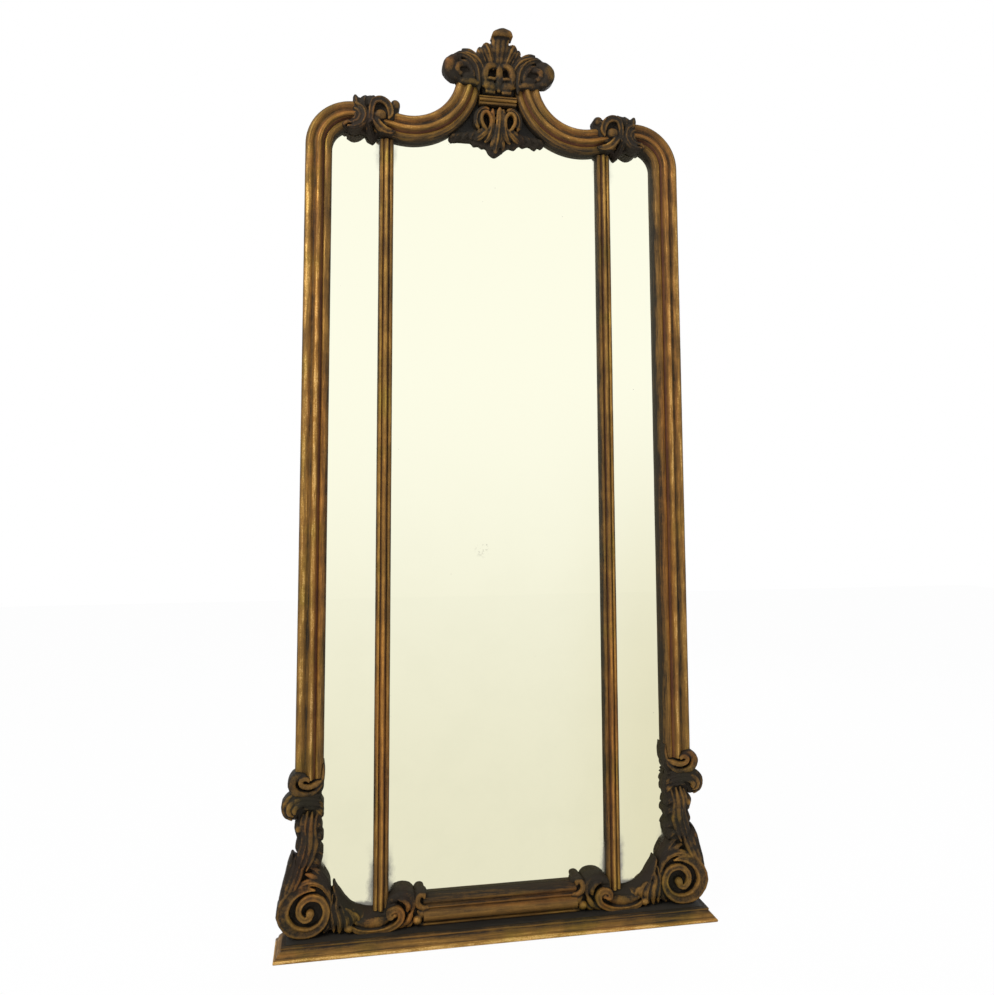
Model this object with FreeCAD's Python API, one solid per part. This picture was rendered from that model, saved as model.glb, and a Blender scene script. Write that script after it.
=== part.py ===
"""A tall trumeau mirror: three mirror plates in a carved and moulded frame on a plinth.

Millimetres.  X runs to the viewer's right, Z up, and the mirror faces -Y.  The origin is the
centre of the plinth's underside.  Depths are written as heights above the wall, so that a
point is at(x, height, z), where z is read from a drawing line a little above the floor.  The left half is modelled, and the right half is its mirror image.
"""
import FreeCAD
import Part

import math
import os

Vector = FreeCAD.Vector

# ---------------------------------------------------------------- driving dimensions
TOTAL_HEIGHT = 2110.0
PLINTH_HALF_WIDTH = 498.0
PLINTH_DEPTH = 103.0
PLINTH_HEIGHT = 28.0
FLOOR = -10.0                   # the floor, as read from the drawing line
FRAME_HALF_WIDTH = 460.0        # to the outside of the moulding
MOULDING_WIDTH = 62.0
SIGHT_HALF_WIDTH = FRAME_HALF_WIDTH - MOULDING_WIDTH
REBATE_WIDTH = 12.0
GLASS_FACE = 28.0               # height of the plates' front above the wall
GLASS_THICKNESS = 4.0
BAR_X = 270.0                   # centre line of each glazing bar
BAR_HALF_WIDTH = 17.0

STILE_FOOT = 340.0              # the moulding starts here, above the carved drop
SHOULDER_X, SHOULDER_Z, SHOULDER_RADIUS = -350.0, 1794.0, 110.0
SCROLL_X, SCROLL_Z, SCROLL_RADIUS = -215.0, 1993.0, 113.0
HIP_X = -302.0                  # the joint between shoulder and scroll rail, under the hip leaf
SCROLL_START = 15.0             # degrees left of the scroll's lowest point
SCROLL_END = 95.0               # degrees right of it
SHOULDER_TOP = SHOULDER_Z + SHOULDER_RADIUS
BASE_RAIL_TOP = 60.0
RAIL_HALF_LENGTH = 176.0        # the moulded bottom rail
PLINTH_TOP = FLOOR + PLINTH_HEIGHT
GLASS_SEAT = BASE_RAIL_TOP + 1.0
FIT_GAP = 1.0                   # plates and boards in their rebates

WALL_Y = PLINTH_DEPTH / 2


def at(x, height, z):
    """A point from its place across, its height above the wall and its z on the drawing."""
    return Vector(x, WALL_Y - height, z - FLOOR)


def mirrored(shape):
    return shape.mirror(Vector(0, 0, 0), Vector(1, 0, 0))


def block(x0, x1, h0, h1, z0, z1):
    """A box between two places across, two heights above the wall and two z values."""
    return Part.makeBox(x1 - x0, h1 - h0, z1 - z0, at(x0, h1, z0))


def rod(start, end, radius):
    along = end - start
    return Part.makeCylinder(radius, along.Length, start, along)


def joined(shapes):
    """One solid from several that touch or overlap."""
    whole = shapes[0].multiFuse(shapes[1:]) if len(shapes) > 1 else shapes[0]
    return whole.removeSplitter()


def largest(shape):
    return max(shape.Solids, key=lambda solid: solid.Volume)


# ---------------------------------------------------------------- mouldings
def moulding_wire(place):
    """The frame moulding's section.  place(u, height) puts a point u out from the sight edge."""
    def p(u, height):
        return place(u, height)
    lines = [
        Part.makeLine(p(REBATE_WIDTH, 0), p(59, 0)),
        Part.makeLine(p(59, 0), p(MOULDING_WIDTH, 46)),
        Part.Arc(p(MOULDING_WIDTH, 46), p(56, 59), p(45, 57)).toShape(),
        Part.Arc(p(45, 57), p(41.5, 54.5), p(38, 57)).toShape(),
        Part.Arc(p(38, 57), p(31, 65), p(22, 57)).toShape(),
        Part.makeLine(p(22, 57), p(20, 47)),
        Part.makeLine(p(20, 47), p(18, 47)),
        Part.Arc(p(18, 47), p(9, 52.5), p(0, 41)).toShape(),
        Part.makeLine(p(0, 41), p(0, GLASS_FACE)),
        Part.makeLine(p(0, GLASS_FACE), p(REBATE_WIDTH, GLASS_FACE)),
        Part.makeLine(p(REBATE_WIDTH, GLASS_FACE), p(REBATE_WIDTH, 0)),
    ]
    return Part.Wire(lines)


def moulding_run(place, along):
    return Part.Face(moulding_wire(place)).extrude(along)


def moulding_turn(place, centre_x, centre_z, degrees):
    face = Part.Face(moulding_wire(place))
    return face.revolve(at(centre_x, 0, centre_z), Vector(0, 1, 0), degrees)


def stile():
    """One long timber: moulded above the carved drop, a plain rebated post below it."""
    def place(u, height):
        return at(-SIGHT_HALF_WIDTH - u, height, STILE_FOOT)
    moulded = moulding_run(place, Vector(0, 0, SHOULDER_Z - STILE_FOOT))
    post = block(-FRAME_HALF_WIDTH + 3, -SIGHT_HALF_WIDTH - REBATE_WIDTH, 0, GLASS_FACE,
                 BASE_RAIL_TOP, STILE_FOOT)
    return joined([moulded, post])


def shoulder():
    """The rounded top corner, and a short straight run to the joint under the hip leaf."""
    def corner(u, height):
        return at(SHOULDER_X - SHOULDER_RADIUS + MOULDING_WIDTH - u, height, SHOULDER_Z)

    def run(u, height):
        return at(SHOULDER_X, height, SHOULDER_TOP - MOULDING_WIDTH + u)
    turn = moulding_turn(corner, SHOULDER_X, SHOULDER_Z, 90)
    return joined([turn, moulding_run(run, Vector(HIP_X - SHOULDER_X, 0, 0))])


def scroll_rail():
    """The C-shaped rail, from the joint under the hip leaf round to the crest volute."""
    outer = SCROLL_RADIUS + MOULDING_WIDTH
    begin = math.radians(SCROLL_START)
    step = Vector(-math.sin(begin), 0, -math.cos(begin))     # from the centre to the moulding
    run_way = Vector(-math.cos(begin), 0, math.sin(begin))   # on towards the hip joint

    def section(u, height):
        reach = outer - u
        return at(SCROLL_X + step.x * reach, height, SCROLL_Z + step.z * reach)
    turn = moulding_turn(section, SCROLL_X, SCROLL_Z, -(SCROLL_START + SCROLL_END))
    run = moulding_run(section, run_way * 110)
    beyond = block(HIP_X - 150, HIP_X, -10, 90, 1750, 2000)
    return joined([turn, run.cut(beyond)])


def glazing_bar():
    """A reeded bar whose tongue stands between two plates."""
    def p(u, height):
        return at(-BAR_X + u, height, GLASS_SEAT)
    w = BAR_HALF_WIDTH
    tongue = 3.0
    edges = [
        Part.makeLine(p(-w, GLASS_FACE), p(-w, 39)),
        Part.Arc(p(-w, 39), p(-12.6, 43), p(-8.2, 39)).toShape(),
        Part.makeLine(p(-8.2, 39), p(-6.8, 39)),
        Part.Arc(p(-6.8, 39), p(0, 48), p(6.8, 39)).toShape(),
        Part.makeLine(p(6.8, 39), p(8.2, 39)),
        Part.Arc(p(8.2, 39), p(12.6, 43), p(w, 39)).toShape(),
        Part.makeLine(p(w, 39), p(w, GLASS_FACE)),
        Part.makeLine(p(w, GLASS_FACE), p(tongue, GLASS_FACE)),
        Part.makeLine(p(tongue, GLASS_FACE), p(tongue, GLASS_FACE - GLASS_THICKNESS)),
        Part.makeLine(p(tongue, GLASS_FACE - GLASS_THICKNESS), p(-tongue, GLASS_FACE - GLASS_THICKNESS)),
        Part.makeLine(p(-tongue, GLASS_FACE - GLASS_THICKNESS), p(-tongue, GLASS_FACE)),
        Part.makeLine(p(-tongue, GLASS_FACE), p(-w, GLASS_FACE)),
    ]
    top = 1821.0
    return Part.Face(Part.Wire(edges)).extrude(Vector(0, 0, top - GLASS_SEAT))


# ---------------------------------------------------------------- carving
def smooth(points, closed=False):
    """A smooth curve through a few points."""
    curve = Part.BSplineCurve()
    curve.interpolate(Points=points, PeriodicFlag=closed)
    return curve


def plaque(outline, low, high):
    """A flat carved ground: a smooth closed outline of (x, z) points, from low to high."""
    edge = smooth([at(x, low, z) for x, z in outline], closed=True).toShape()
    return Part.Face(Part.Wire(edge)).extrude(Vector(0, low - high, 0))


def strand(path, widths, crests, low):
    """A carved ridge that follows a smooth path of (x, z) points.

    widths and crests are its width and its height above the wall at the start, middle and end.
    """
    curve = smooth([at(x, low, z) for x, z in path])
    first, last = curve.FirstParameter, curve.LastParameter
    steps = 2 * len(path) + 1

    def between(values, t):
        a, b, c = values
        return (a + (b - a) * 2 * t) if t < 0.5 else (b + (c - b) * (2 * t - 1))
    wires = []
    for i in range(steps):
        t = i / (steps - 1)
        here = curve.value(first + (last - first) * t)
        way = Vector(*curve.tangent(first + (last - first) * t)[0])
        side = Vector(-way.z, 0, way.x)
        half = between(widths, t) / 2
        rise = between(crests, t) - low
        section = [(-1, 0), (-1, 0.55), (-0.55, 0.9), (0, 1), (0.55, 0.9), (1, 0.55), (1, 0)]
        corners = [here + side * (half * s) + Vector(0, -rise * r, 0) for s, r in section]
        wires.append(Part.makePolygon(corners + [corners[0]]))
    return Part.makeLoft(wires, True, True)


def carved(solids, low, ridges):
    """Grounds and bosses, with strands carved over them from about the height low.

    Each strand starts a little higher than the last, so that no two undersides are in one plane.
    """
    strands = [strand(path, widths, crests, low + 0.7 * i) for i, (path, widths, crests) in enumerate(ridges)]
    return joined(list(solids) + strands)


def coil(centre, outer, inner, start, turns, steps=25):
    """A path wound round a centre, from an outer radius to an inner one.

    start is the first angle in degrees, anticlockwise from +X as seen from the front.
    """
    path = []
    for i in range(steps):
        t = i / (steps - 1)
        angle = math.radians(start + 360 * turns * t)
        reach = outer + (inner - outer) * t
        path.append((centre[0] + reach * math.cos(angle), centre[1] + reach * math.sin(angle)))
    return path


def boss(centre, radius, low, high):
    """A round button with a rounded edge and a small flat top."""
    x, z = centre
    shoulder_height = low + 0.6 * (high - low)
    wire = Part.Wire([
        Part.makeLine(at(x, low, z), at(x + radius, low, z)),
        Part.makeLine(at(x + radius, low, z), at(x + radius, shoulder_height, z)),
        Part.Arc(at(x + radius, shoulder_height, z), at(x + 0.85 * radius, low + 0.87 * (high - low), z),
                 at(x + 0.45 * radius, high, z)).toShape(),
        Part.makeLine(at(x + 0.45 * radius, high, z), at(x, high, z)),
        Part.makeLine(at(x, high, z), at(x, low, z)),
    ])
    return Part.Face(wire).revolve(at(x, 0, z), Vector(0, 1, 0), 360)


def fitted(carving, *neighbours):
    """The carving scribed over the pieces it lies on."""
    for piece in neighbours:
        carving = carving.cut(piece)
    return largest(carving)


def hip_leaf():
    """The acanthus knot over the joint between shoulder and scroll rail."""
    ground = plaque([(-352, 1902), (-345, 1914), (-336, 1907), (-318, 1914), (-300, 1910), (-288, 1912),
                     (-270, 1896), (-248, 1909), (-240, 1900), (-240, 1884), (-258, 1845), (-275, 1822),
                     (-292, 1820), (-308, 1797), (-322, 1812), (-345, 1808), (-368, 1808), (-362, 1830),
                     (-352, 1860)], 30, 66)
    return carved([ground, boss((-290, 1876), 9, 44, 76)], 39, [
        ([(-340, 1893), (-324, 1874), (-327, 1850), (-350, 1842)], (9, 12, 6), (70, 74, 66)),
        ([(-333, 1904), (-312, 1872), (-314, 1840), (-330, 1816)], (10, 14, 8), (70, 76, 64)),
        (coil((-290, 1876), 24, 8, 160, -1.1, 15), (7, 9, 6), (72, 78, 70)),
        ([(-303, 1866), (-290, 1846), (-272, 1831), (-258, 1826)], (7, 11, 6), (76, 74, 60)),
        ([(-262, 1886), (-254, 1900), (-246, 1904)], (10, 14, 8), (64, 66, 58)),
    ])


def crest_volute():
    """The rolled end of the scroll rail."""
    centre = (-106.0, 2004.0)
    drum = boss(centre, 34, 14, 66)
    return carved([drum], 20, [(coil(centre, 26, 9, -80, -1.35), (12, 13, 9), (66, 74, 72))])


def leaf_drop():
    """The long carved leaf that runs down the foot of the stile."""
    ground = plaque([(-470, 334), (-462, 350), (-440, 343), (-401, 342), (-398, 326), (-404, 312),
                     (-400, 290), (-397, 262), (-404, 238), (-396, 218), (-402, 200), (-396, 184),
                     (-408, 158), (-450, 158), (-462, 196), (-459, 250), (-466, 300)], GLASS_FACE, 48)
    return carved([ground], 30, [
        ([(-470, 346), (-452, 326), (-425, 325), (-400, 336)], (10, 14, 8), (58, 66, 56)),
        ([(-412, 308), (-418, 260), (-428, 210), (-446, 160)], (8, 14, 9), (58, 66, 60)),
        ([(-432, 300), (-436, 250), (-446, 205), (-462, 162)], (9, 14, 8), (58, 68, 58)),
        ([(-448, 268), (-454, 240), (-458, 212), (-470, 168)], (8, 12, 6), (56, 60, 52)),
        ([(-400, 276), (-406, 246), (-416, 205), (-428, 162)], (7, 12, 8), (54, 60, 56)),
        ([(-399, 222), (-402, 200), (-410, 180), (-418, 158)], (8, 12, 8), (48, 54, 52)),
    ])


def side_curl():
    """The rolled leaf that stands out beyond the stile, under the collar."""
    return carved([boss((-466, 289), 20, 30, 60)], 31, [
        ([(-404, 306), (-432, 314), (-466, 310), (-480, 290), (-470, 272), (-456, 276), (-457, 288)],
         (12, 20, 8), (62, 72, 66)),
    ])


VOLUTE = (-425.0, 69.0)         # the eye of the corner volute


def footed(carving):
    """The carving planed off at the plinth."""
    return carving.cut(block(-520, -100, 0, 100, FLOOR - 20, PLINTH_TOP))


def corner_volute():
    """The big spiral at the foot, and the leaf that flows into it."""
    ground = plaque([(-459, 196), (-472, 176), (-476, 150), (-489, 118), (-493, 84), (-486, 52), (-468, 24),
                     (-440, 17), (-400, 17), (-378, 40), (-373, 78), (-382, 120), (-400, 157),
                     (-432, 170)], GLASS_FACE, 42)
    return footed(carved([ground, boss(VOLUTE, 13, 29, 66)], 30, [
        (coil(VOLUTE, 60, 14, 150, 1.42, 27), (24, 17, 12), (60, 64, 62)),
        ([(-460, 186), (-468, 150), (-480, 118), (-484, 92)], (6, 12, 10), (52, 58, 58)),
        ([(-446, 160), (-456, 136), (-470, 116), (-474, 92)], (8, 12, 8), (56, 60, 58)),
        ([(-468, 124), (-440, 138), (-408, 132), (-388, 104)], (8, 14, 9), (54, 60, 54)),
    ]))


def corner_leaf():
    """The fan of lobes between the volute and the base scroll."""
    ground = plaque([(-382, 124), (-368, 136), (-362, 120), (-348, 106), (-333, 86), (-322, 68), (-318, 40),
                     (-330, 17), (-368, 17), (-376, 60)], GLASS_FACE, 46)
    return footed(carved([ground], 30, [
        ([(-352, 24), (-350, 60), (-360, 96), (-374, 122)], (9, 13, 7), (60, 62, 52)),
        ([(-364, 22), (-364, 56), (-372, 88), (-382, 104)], (8, 11, 7), (58, 60, 50)),
        ([(-340, 26), (-336, 56), (-342, 86), (-352, 104)], (8, 12, 7), (60, 62, 50)),
    ]))


def base_scroll():
    """The flat scroll that carries the foot of a glazing bar, and the shell beside it."""
    ground = plaque([(-330, 17), (-325, 60), (-316, 76), (-300, 74), (-280, 72), (-262, 92), (-250, 108),
                     (-235, 116), (-216, 110), (-203, 94), (-196, 60), (-200, 17)], GLASS_FACE, 44)
    return footed(carved([ground], 30, [
        ([(-330, 30), (-300, 23), (-268, 26), (-246, 42), (-248, 58), (-258, 56)], (9, 11, 8), (60, 64, 62)),
        ([(-212, 98), (-206, 66), (-216, 38), (-240, 24)], (12, 14, 8), (58, 66, 56)),
        ([(-236, 104), (-222, 78), (-226, 52), (-236, 36)], (14, 16, 8), (56, 62, 56)),
        ([(-252, 96), (-240, 80), (-238, 64)], (12, 14, 9), (52, 58, 56)),
    ]))


def rail_ear():
    """The small curl that ends the bottom rail's bead."""
    ground = plaque([(-177, 17), (-196, 21), (-203, 50), (-198, 90), (-186, 100), (-177, 96)],
                    GLASS_FACE, 44)
    return footed(carved([ground], 30, [
        ([(-178, 68), (-190, 76), (-194, 92), (-184, 104), (-178, 98)], (9, 11, 7), (54, 60, 58)),
        ([(-178, 26), (-188, 30), (-198, 38)], (12, 14, 8), (58, 60, 52)),
    ]))


# ---------------------------------------------------------------- crest
def crest_ground():
    """The dark board behind the crest, housed in the scroll rails' rebates."""
    reach = SCROLL_RADIUS + MOULDING_WIDTH - REBATE_WIDTH - 0.5
    low, top = 1850.0, 2040.0
    foot = SCROLL_X + math.sqrt(reach ** 2 - (SCROLL_Z - low) ** 2)
    angle = math.radians(-30)
    mid = (SCROLL_X + reach * math.cos(angle), SCROLL_Z + reach * math.sin(angle))
    waist = SCROLL_X + reach
    h = GLASS_FACE
    edges = [
        Part.makeLine(at(-foot, h, low), at(foot, h, low)),
        Part.Arc(at(-foot, h, low), at(-mid[0], h, mid[1]), at(-waist, h, SCROLL_Z)).toShape(),
        Part.Arc(at(foot, h, low), at(mid[0], h, mid[1]), at(waist, h, SCROLL_Z)).toShape(),
        Part.makeLine(at(waist, h, SCROLL_Z), at(waist, h, top)),
        Part.makeLine(at(-waist, h, SCROLL_Z), at(-waist, h, top)),
        Part.makeLine(at(-waist, h, top), at(waist, h, top)),
    ]
    wire = Part.Wire(Part.__sortEdges__(edges))
    return Part.Face(wire).extrude(Vector(0, 12, 0))


def crest_bar():
    """The little reeded bar between the two scroll rails."""
    z = 1936.0
    half = 11.0

    def p(w, height):
        return at(-70, height, z + w)
    edges = [
        Part.makeLine(p(-half, GLASS_FACE), p(-half, 50)),
        Part.Arc(p(-half, 50), p(-7, 54), p(-3, 51)).toShape(),
        Part.Arc(p(-3, 51), p(3, 58), p(9, 51)).toShape(),
        Part.makeLine(p(9, 51), p(half, 48)),
        Part.makeLine(p(half, 48), p(half, GLASS_FACE)),
        Part.makeLine(p(half, GLASS_FACE), p(-half, GLASS_FACE)),
    ]
    return Part.Face(Part.Wire(edges)).extrude(Vector(140, 0, 0))


def crest_palmette():
    """The shell of upright lobes on the crest.  Its top curls forward."""
    ground = plaque([(-38, 1950), (38, 1950), (42, 1985), (50, 2020), (78, 2044), (60, 2052), (44, 2062),
                     (24, 2080), (14, 2090), (0, 2096), (-14, 2090), (-24, 2080), (-44, 2062), (-60, 2052),
                     (-78, 2044), (-50, 2020), (-42, 1985)], GLASS_FACE + 2, 50)
    knob = Part.makeSphere(21, at(2, 76, TOTAL_HEIGHT + FLOOR - 21))
    ridges = [([(0, 1985), (0, 2030), (0, 2062), (1, 2078)], (14, 24, 30), (62, 84, 92))]
    for side in (-1, 1):
        ridges += [
            ([(side * 10, 1980), (side * 20, 2020), (side * 24, 2048), (side * 33, 2066)], (10, 17, 20),
             (62, 74, 76)),
            ([(side * 22, 1975), (side * 34, 2010), (side * 48, 2036), (side * 74, 2048)], (11, 18, 18),
             (62, 72, 64)),
            ([(side * 36, 1962), (side * 40, 1985), (side * 46, 2004), (side * 62, 2022)], (8, 12, 12),
             (58, 64, 56)),
            ([(side * 4, 1964), (side * 18, 1962), (side * 30, 1972), (side * 22, 1986)], (10, 13, 9),
             (62, 68, 66)),
        ]
    return carved([ground, knob], 34, ridges)


def pendant_palmette():
    """The pierced palmette that hangs below the crest bar, with its scalloped border."""
    ground = plaque([(-34, 1922), (34, 1922), (52, 1900), (52, 1868), (62, 1848), (100, 1838), (128, 1834),
                     (112, 1820), (96, 1814), (66, 1826), (44, 1812), (22, 1812), (8, 1796), (-6, 1788),
                     (-20, 1797), (-28, 1812), (-46, 1814), (-62, 1818), (-88, 1828), (-110, 1820),
                     (-126, 1834), (-98, 1842), (-62, 1850), (-52, 1868), (-52, 1900)], GLASS_FACE + 0.3, 42)
    ridges = [([(2, 1918), (1, 1880), (-2, 1840), (-6, 1796)], (12, 20, 16), (56, 62, 46))]
    for side in (-1, 1):
        ridges += [
            ([(side * 34, 1912), (side * 50, 1898), (side * 48, 1868), (side * 38, 1858)], (10, 13, 8),
             (54, 58, 50)),
            ([(side * 10, 1880), (side * 20, 1852), (side * 36, 1834), (side * 56, 1828)], (9, 14, 12),
             (56, 58, 48)),
        ]
    whole = carved([ground], 32, ridges)
    for side in (-1, 1):
        hole = plaque([(side * 26, 1896), (side * 38, 1880), (side * 32, 1862), (side * 20, 1874)], 20, 80)
        whole = whole.cut(hole)
    return whole


# ---------------------------------------------------------------- plinth
def nosing_wire(place):
    """The plinth's edge moulding.  place(w, z) puts a point w out from the board, z off the floor."""
    return Part.Wire([
        Part.makeLine(place(0, 0), place(22, 0)),
        Part.Arc(place(22, 0), place(26, 4.5), place(22, 9)).toShape(),
        Part.makeLine(place(22, 9), place(20, 10)),
        Part.Arc(place(20, 10), place(18.5, 14), place(14, 17)).toShape(),
        Part.Arc(place(14, 17), place(10.8, 19), place(9.5, 22)).toShape(),
        Part.makeLine(place(9.5, 22), place(10, 23.5)),
        Part.makeLine(place(10, 23.5), place(10, PLINTH_HEIGHT)),
        Part.makeLine(place(10, PLINTH_HEIGHT), place(0, PLINTH_HEIGHT)),
        Part.makeLine(place(0, PLINTH_HEIGHT), place(0, 0)),
    ])


NOSING = 26.0                   # how far the edge moulding stands out from the board
BOARD_HALF_WIDTH = PLINTH_HALF_WIDTH - NOSING
BOARD_DEPTH = PLINTH_DEPTH - NOSING


def mitre_wedge(sign):
    """The half of a plinth corner that belongs to the side return."""
    far = NOSING + 20
    corners = [at(sign * BOARD_HALF_WIDTH, BOARD_DEPTH, FLOOR - 5),
               at(sign * (BOARD_HALF_WIDTH + far), BOARD_DEPTH + far, FLOOR - 5),
               at(sign * (BOARD_HALF_WIDTH + far), BOARD_DEPTH, FLOOR - 5)]
    wire = Part.makePolygon(corners + [corners[0]])
    return Part.Face(wire).extrude(Vector(0, 0, PLINTH_HEIGHT + 10))


def plinth_nosing():
    def place(w, z):
        return at(-PLINTH_HALF_WIDTH, BOARD_DEPTH + w, FLOOR + z)
    run = Part.Face(nosing_wire(place)).extrude(Vector(2 * PLINTH_HALF_WIDTH, 0, 0))
    return run.cut(mitre_wedge(1)).cut(mitre_wedge(-1))


def plinth_return():
    """The left end's edge moulding, mitred to the front one."""
    def place(w, z):
        return at(-BOARD_HALF_WIDTH - w, 0, FLOOR + z)
    run = Part.Face(nosing_wire(place)).extrude(Vector(0, -PLINTH_DEPTH, 0))
    beyond = block(-PLINTH_HALF_WIDTH - 5, -BOARD_HALF_WIDTH + 5, BOARD_DEPTH, PLINTH_DEPTH + 5,
                   FLOOR - 5, PLINTH_TOP + 5)
    return joined([run.cut(beyond), run.common(mitre_wedge(-1))])


# ---------------------------------------------------------------- back and hardware
BOARD_BACK, BOARD_FRONT = 16.0, 23.0        # heights of the backboards above the wall
BATTEN_BACK = 8.0
BATTEN_HALF_WIDTH = 32.0
BATTEN_REACH = SIGHT_HALF_WIDTH + REBATE_WIDTH + 24     # the ends are let into the stiles
BATTENS = {"upper": 1660.0, "middle": 960.0, "lower": 220.0}
BACK_HALF_WIDTH = SIGHT_HALF_WIDTH + REBATE_WIDTH - FIT_GAP
HANGER_X = 330.0
STRAP_THICKNESS = 1.5
PIVOT_HEIGHT = BATTEN_BACK - 3.8
PIVOT_Z = BATTENS["upper"] + 12.0
RING_WIRE = 2.0
RING_HALF_WIDTH = 13.0
RING_DROP = 26.0
SCREW_RADIUS = 2.0
REBATE_MIDDLE = REBATE_WIDTH / 2            # plates and boards end half way across the rebates


def side_panel(inner, back, front):
    """A narrow plate or board.  Its top outer corner follows the shoulder."""
    reach = SHOULDER_RADIUS - MOULDING_WIDTH + REBATE_MIDDLE
    diagonal = reach * math.sqrt(0.5)
    top = SHOULDER_Z + reach

    def p(x, z):
        return at(x, front, z)
    outer = -BACK_HALF_WIDTH
    turn = SHOULDER_X - reach
    edges = [
        Part.makeLine(p(outer, GLASS_SEAT), p(-inner, GLASS_SEAT)),
        Part.makeLine(p(-inner, GLASS_SEAT), p(-inner, 1833)),
        Part.makeLine(p(-inner, 1833), p(HIP_X, 1846)),
        Part.makeLine(p(HIP_X, 1846), p(SHOULDER_X, top)),
        Part.Arc(p(SHOULDER_X, top), p(SHOULDER_X - diagonal, SHOULDER_Z + diagonal),
                 p(turn, SHOULDER_Z)).toShape(),
        Part.makeLine(p(turn, SHOULDER_Z), p(outer, SHOULDER_Z - 10)),
        Part.makeLine(p(outer, SHOULDER_Z - 10), p(outer, GLASS_SEAT)),
    ]
    return Part.Face(Part.Wire(edges)).extrude(Vector(0, front - back, 0))


def centre_panel(half, top, back, front):
    """The wide plate or board.  Its top edge follows the two scroll rails, up to the crest board."""
    reach = SCROLL_RADIUS + MOULDING_WIDTH - REBATE_MIDDLE

    def p(x, z):
        return at(x, front, z)

    def height_at(x):
        return SCROLL_Z - math.sqrt(reach ** 2 - (x - SCROLL_X) ** 2)
    step = SCROLL_X + math.sqrt(reach ** 2 - (SCROLL_Z - top) ** 2)
    side = height_at(-half)
    low = SCROLL_Z - reach
    edges = [
        Part.makeLine(p(-half, GLASS_SEAT), p(half, GLASS_SEAT)),
        Part.makeLine(p(half, GLASS_SEAT), p(half, side)),
        Part.Arc(p(half, side), p(-SCROLL_X, low), p(-step, top)).toShape(),
        Part.makeLine(p(-step, top), p(step, top)),
        Part.Arc(p(step, top), p(SCROLL_X, low), p(-half, side)).toShape(),
        Part.makeLine(p(-half, side), p(-half, GLASS_SEAT)),
    ]
    return Part.Face(Part.Wire(edges)).extrude(Vector(0, front - back, 0))


def batten(z):
    return block(-BATTEN_REACH, BATTEN_REACH, BATTEN_BACK, BOARD_BACK, z - BATTEN_HALF_WIDTH,
                 z + BATTEN_HALF_WIDTH)


def housed(post):
    """The stile with the battens' ends let into its back."""
    for z in BATTENS.values():
        post = post.cut(block(-BATTEN_REACH, -SIGHT_HALF_WIDTH, -1, BOARD_BACK, z - BATTEN_HALF_WIDTH,
                              z + BATTEN_HALF_WIDTH))
    return post


def screw(x, head_height, z, length, head_radius=4.0):
    """A countersunk wood screw driven towards the front from a back face."""
    sink = head_radius - SCREW_RADIUS
    head = Part.makeCone(head_radius, SCREW_RADIUS, sink, at(x, head_height, z), Vector(0, -1, 0))
    shank = rod(at(x, head_height + sink, z), at(x, head_height + length, z), SCREW_RADIUS)
    return joined([head, shank])


def hanger_strap():
    """The screwed plate of a ring hanger, with the knuckle that holds the ring."""
    x = -HANGER_X
    plate = block(x - 8, x + 8, BATTEN_BACK - STRAP_THICKNESS, BATTEN_BACK, PIVOT_Z - 40, PIVOT_Z)
    knuckle = rod(at(x - 8, PIVOT_HEIGHT, PIVOT_Z), at(x + 8, PIVOT_HEIGHT, PIVOT_Z), 3.7)
    bore = rod(at(x - 9, PIVOT_HEIGHT, PIVOT_Z), at(x + 9, PIVOT_HEIGHT, PIVOT_Z), RING_WIRE + 0.06)
    return joined([plate, knuckle]).cut(bore)


def hanger_ring():
    """A D-shaped wire ring, hanging from the knuckle."""
    x = -HANGER_X
    h = PIVOT_HEIGHT
    left, right = x - RING_HALF_WIDTH, x + RING_HALF_WIDTH
    round_z = PIVOT_Z - RING_DROP + RING_HALF_WIDTH
    bar = rod(at(left, h, PIVOT_Z), at(right, h, PIVOT_Z), RING_WIRE)
    legs = [rod(at(side, h, PIVOT_Z), at(side, h, round_z), RING_WIRE) for side in (left, right)]
    knees = [Part.makeSphere(RING_WIRE, at(side, h, PIVOT_Z)) for side in (left, right)]
    section = Part.Face(Part.Wire(Part.makeCircle(RING_WIRE, at(left, h, round_z), Vector(0, 0, 1))))
    bow = section.revolve(at(x, h, round_z), Vector(0, -1, 0), 180)
    return joined([bar, bow] + legs + knees)


def hanger_screws():
    places = [(side * HANGER_X, PIVOT_Z - drop) for side in (-1, 1) for drop in (10.0, 34.0)]
    return [screw(x, BATTEN_BACK - STRAP_THICKNESS, z, 9.0) for x, z in places]


def batten_screws():
    return [screw(side * (BATTEN_REACH - 12), BATTEN_BACK, z + rise, 30.0)
            for z in BATTENS.values() for side in (-1, 1) for rise in (-16, 16)]


def holed(shape, screws):
    """The piece with its screws' holes."""
    return shape.cut(Part.makeCompound(screws))


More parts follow.
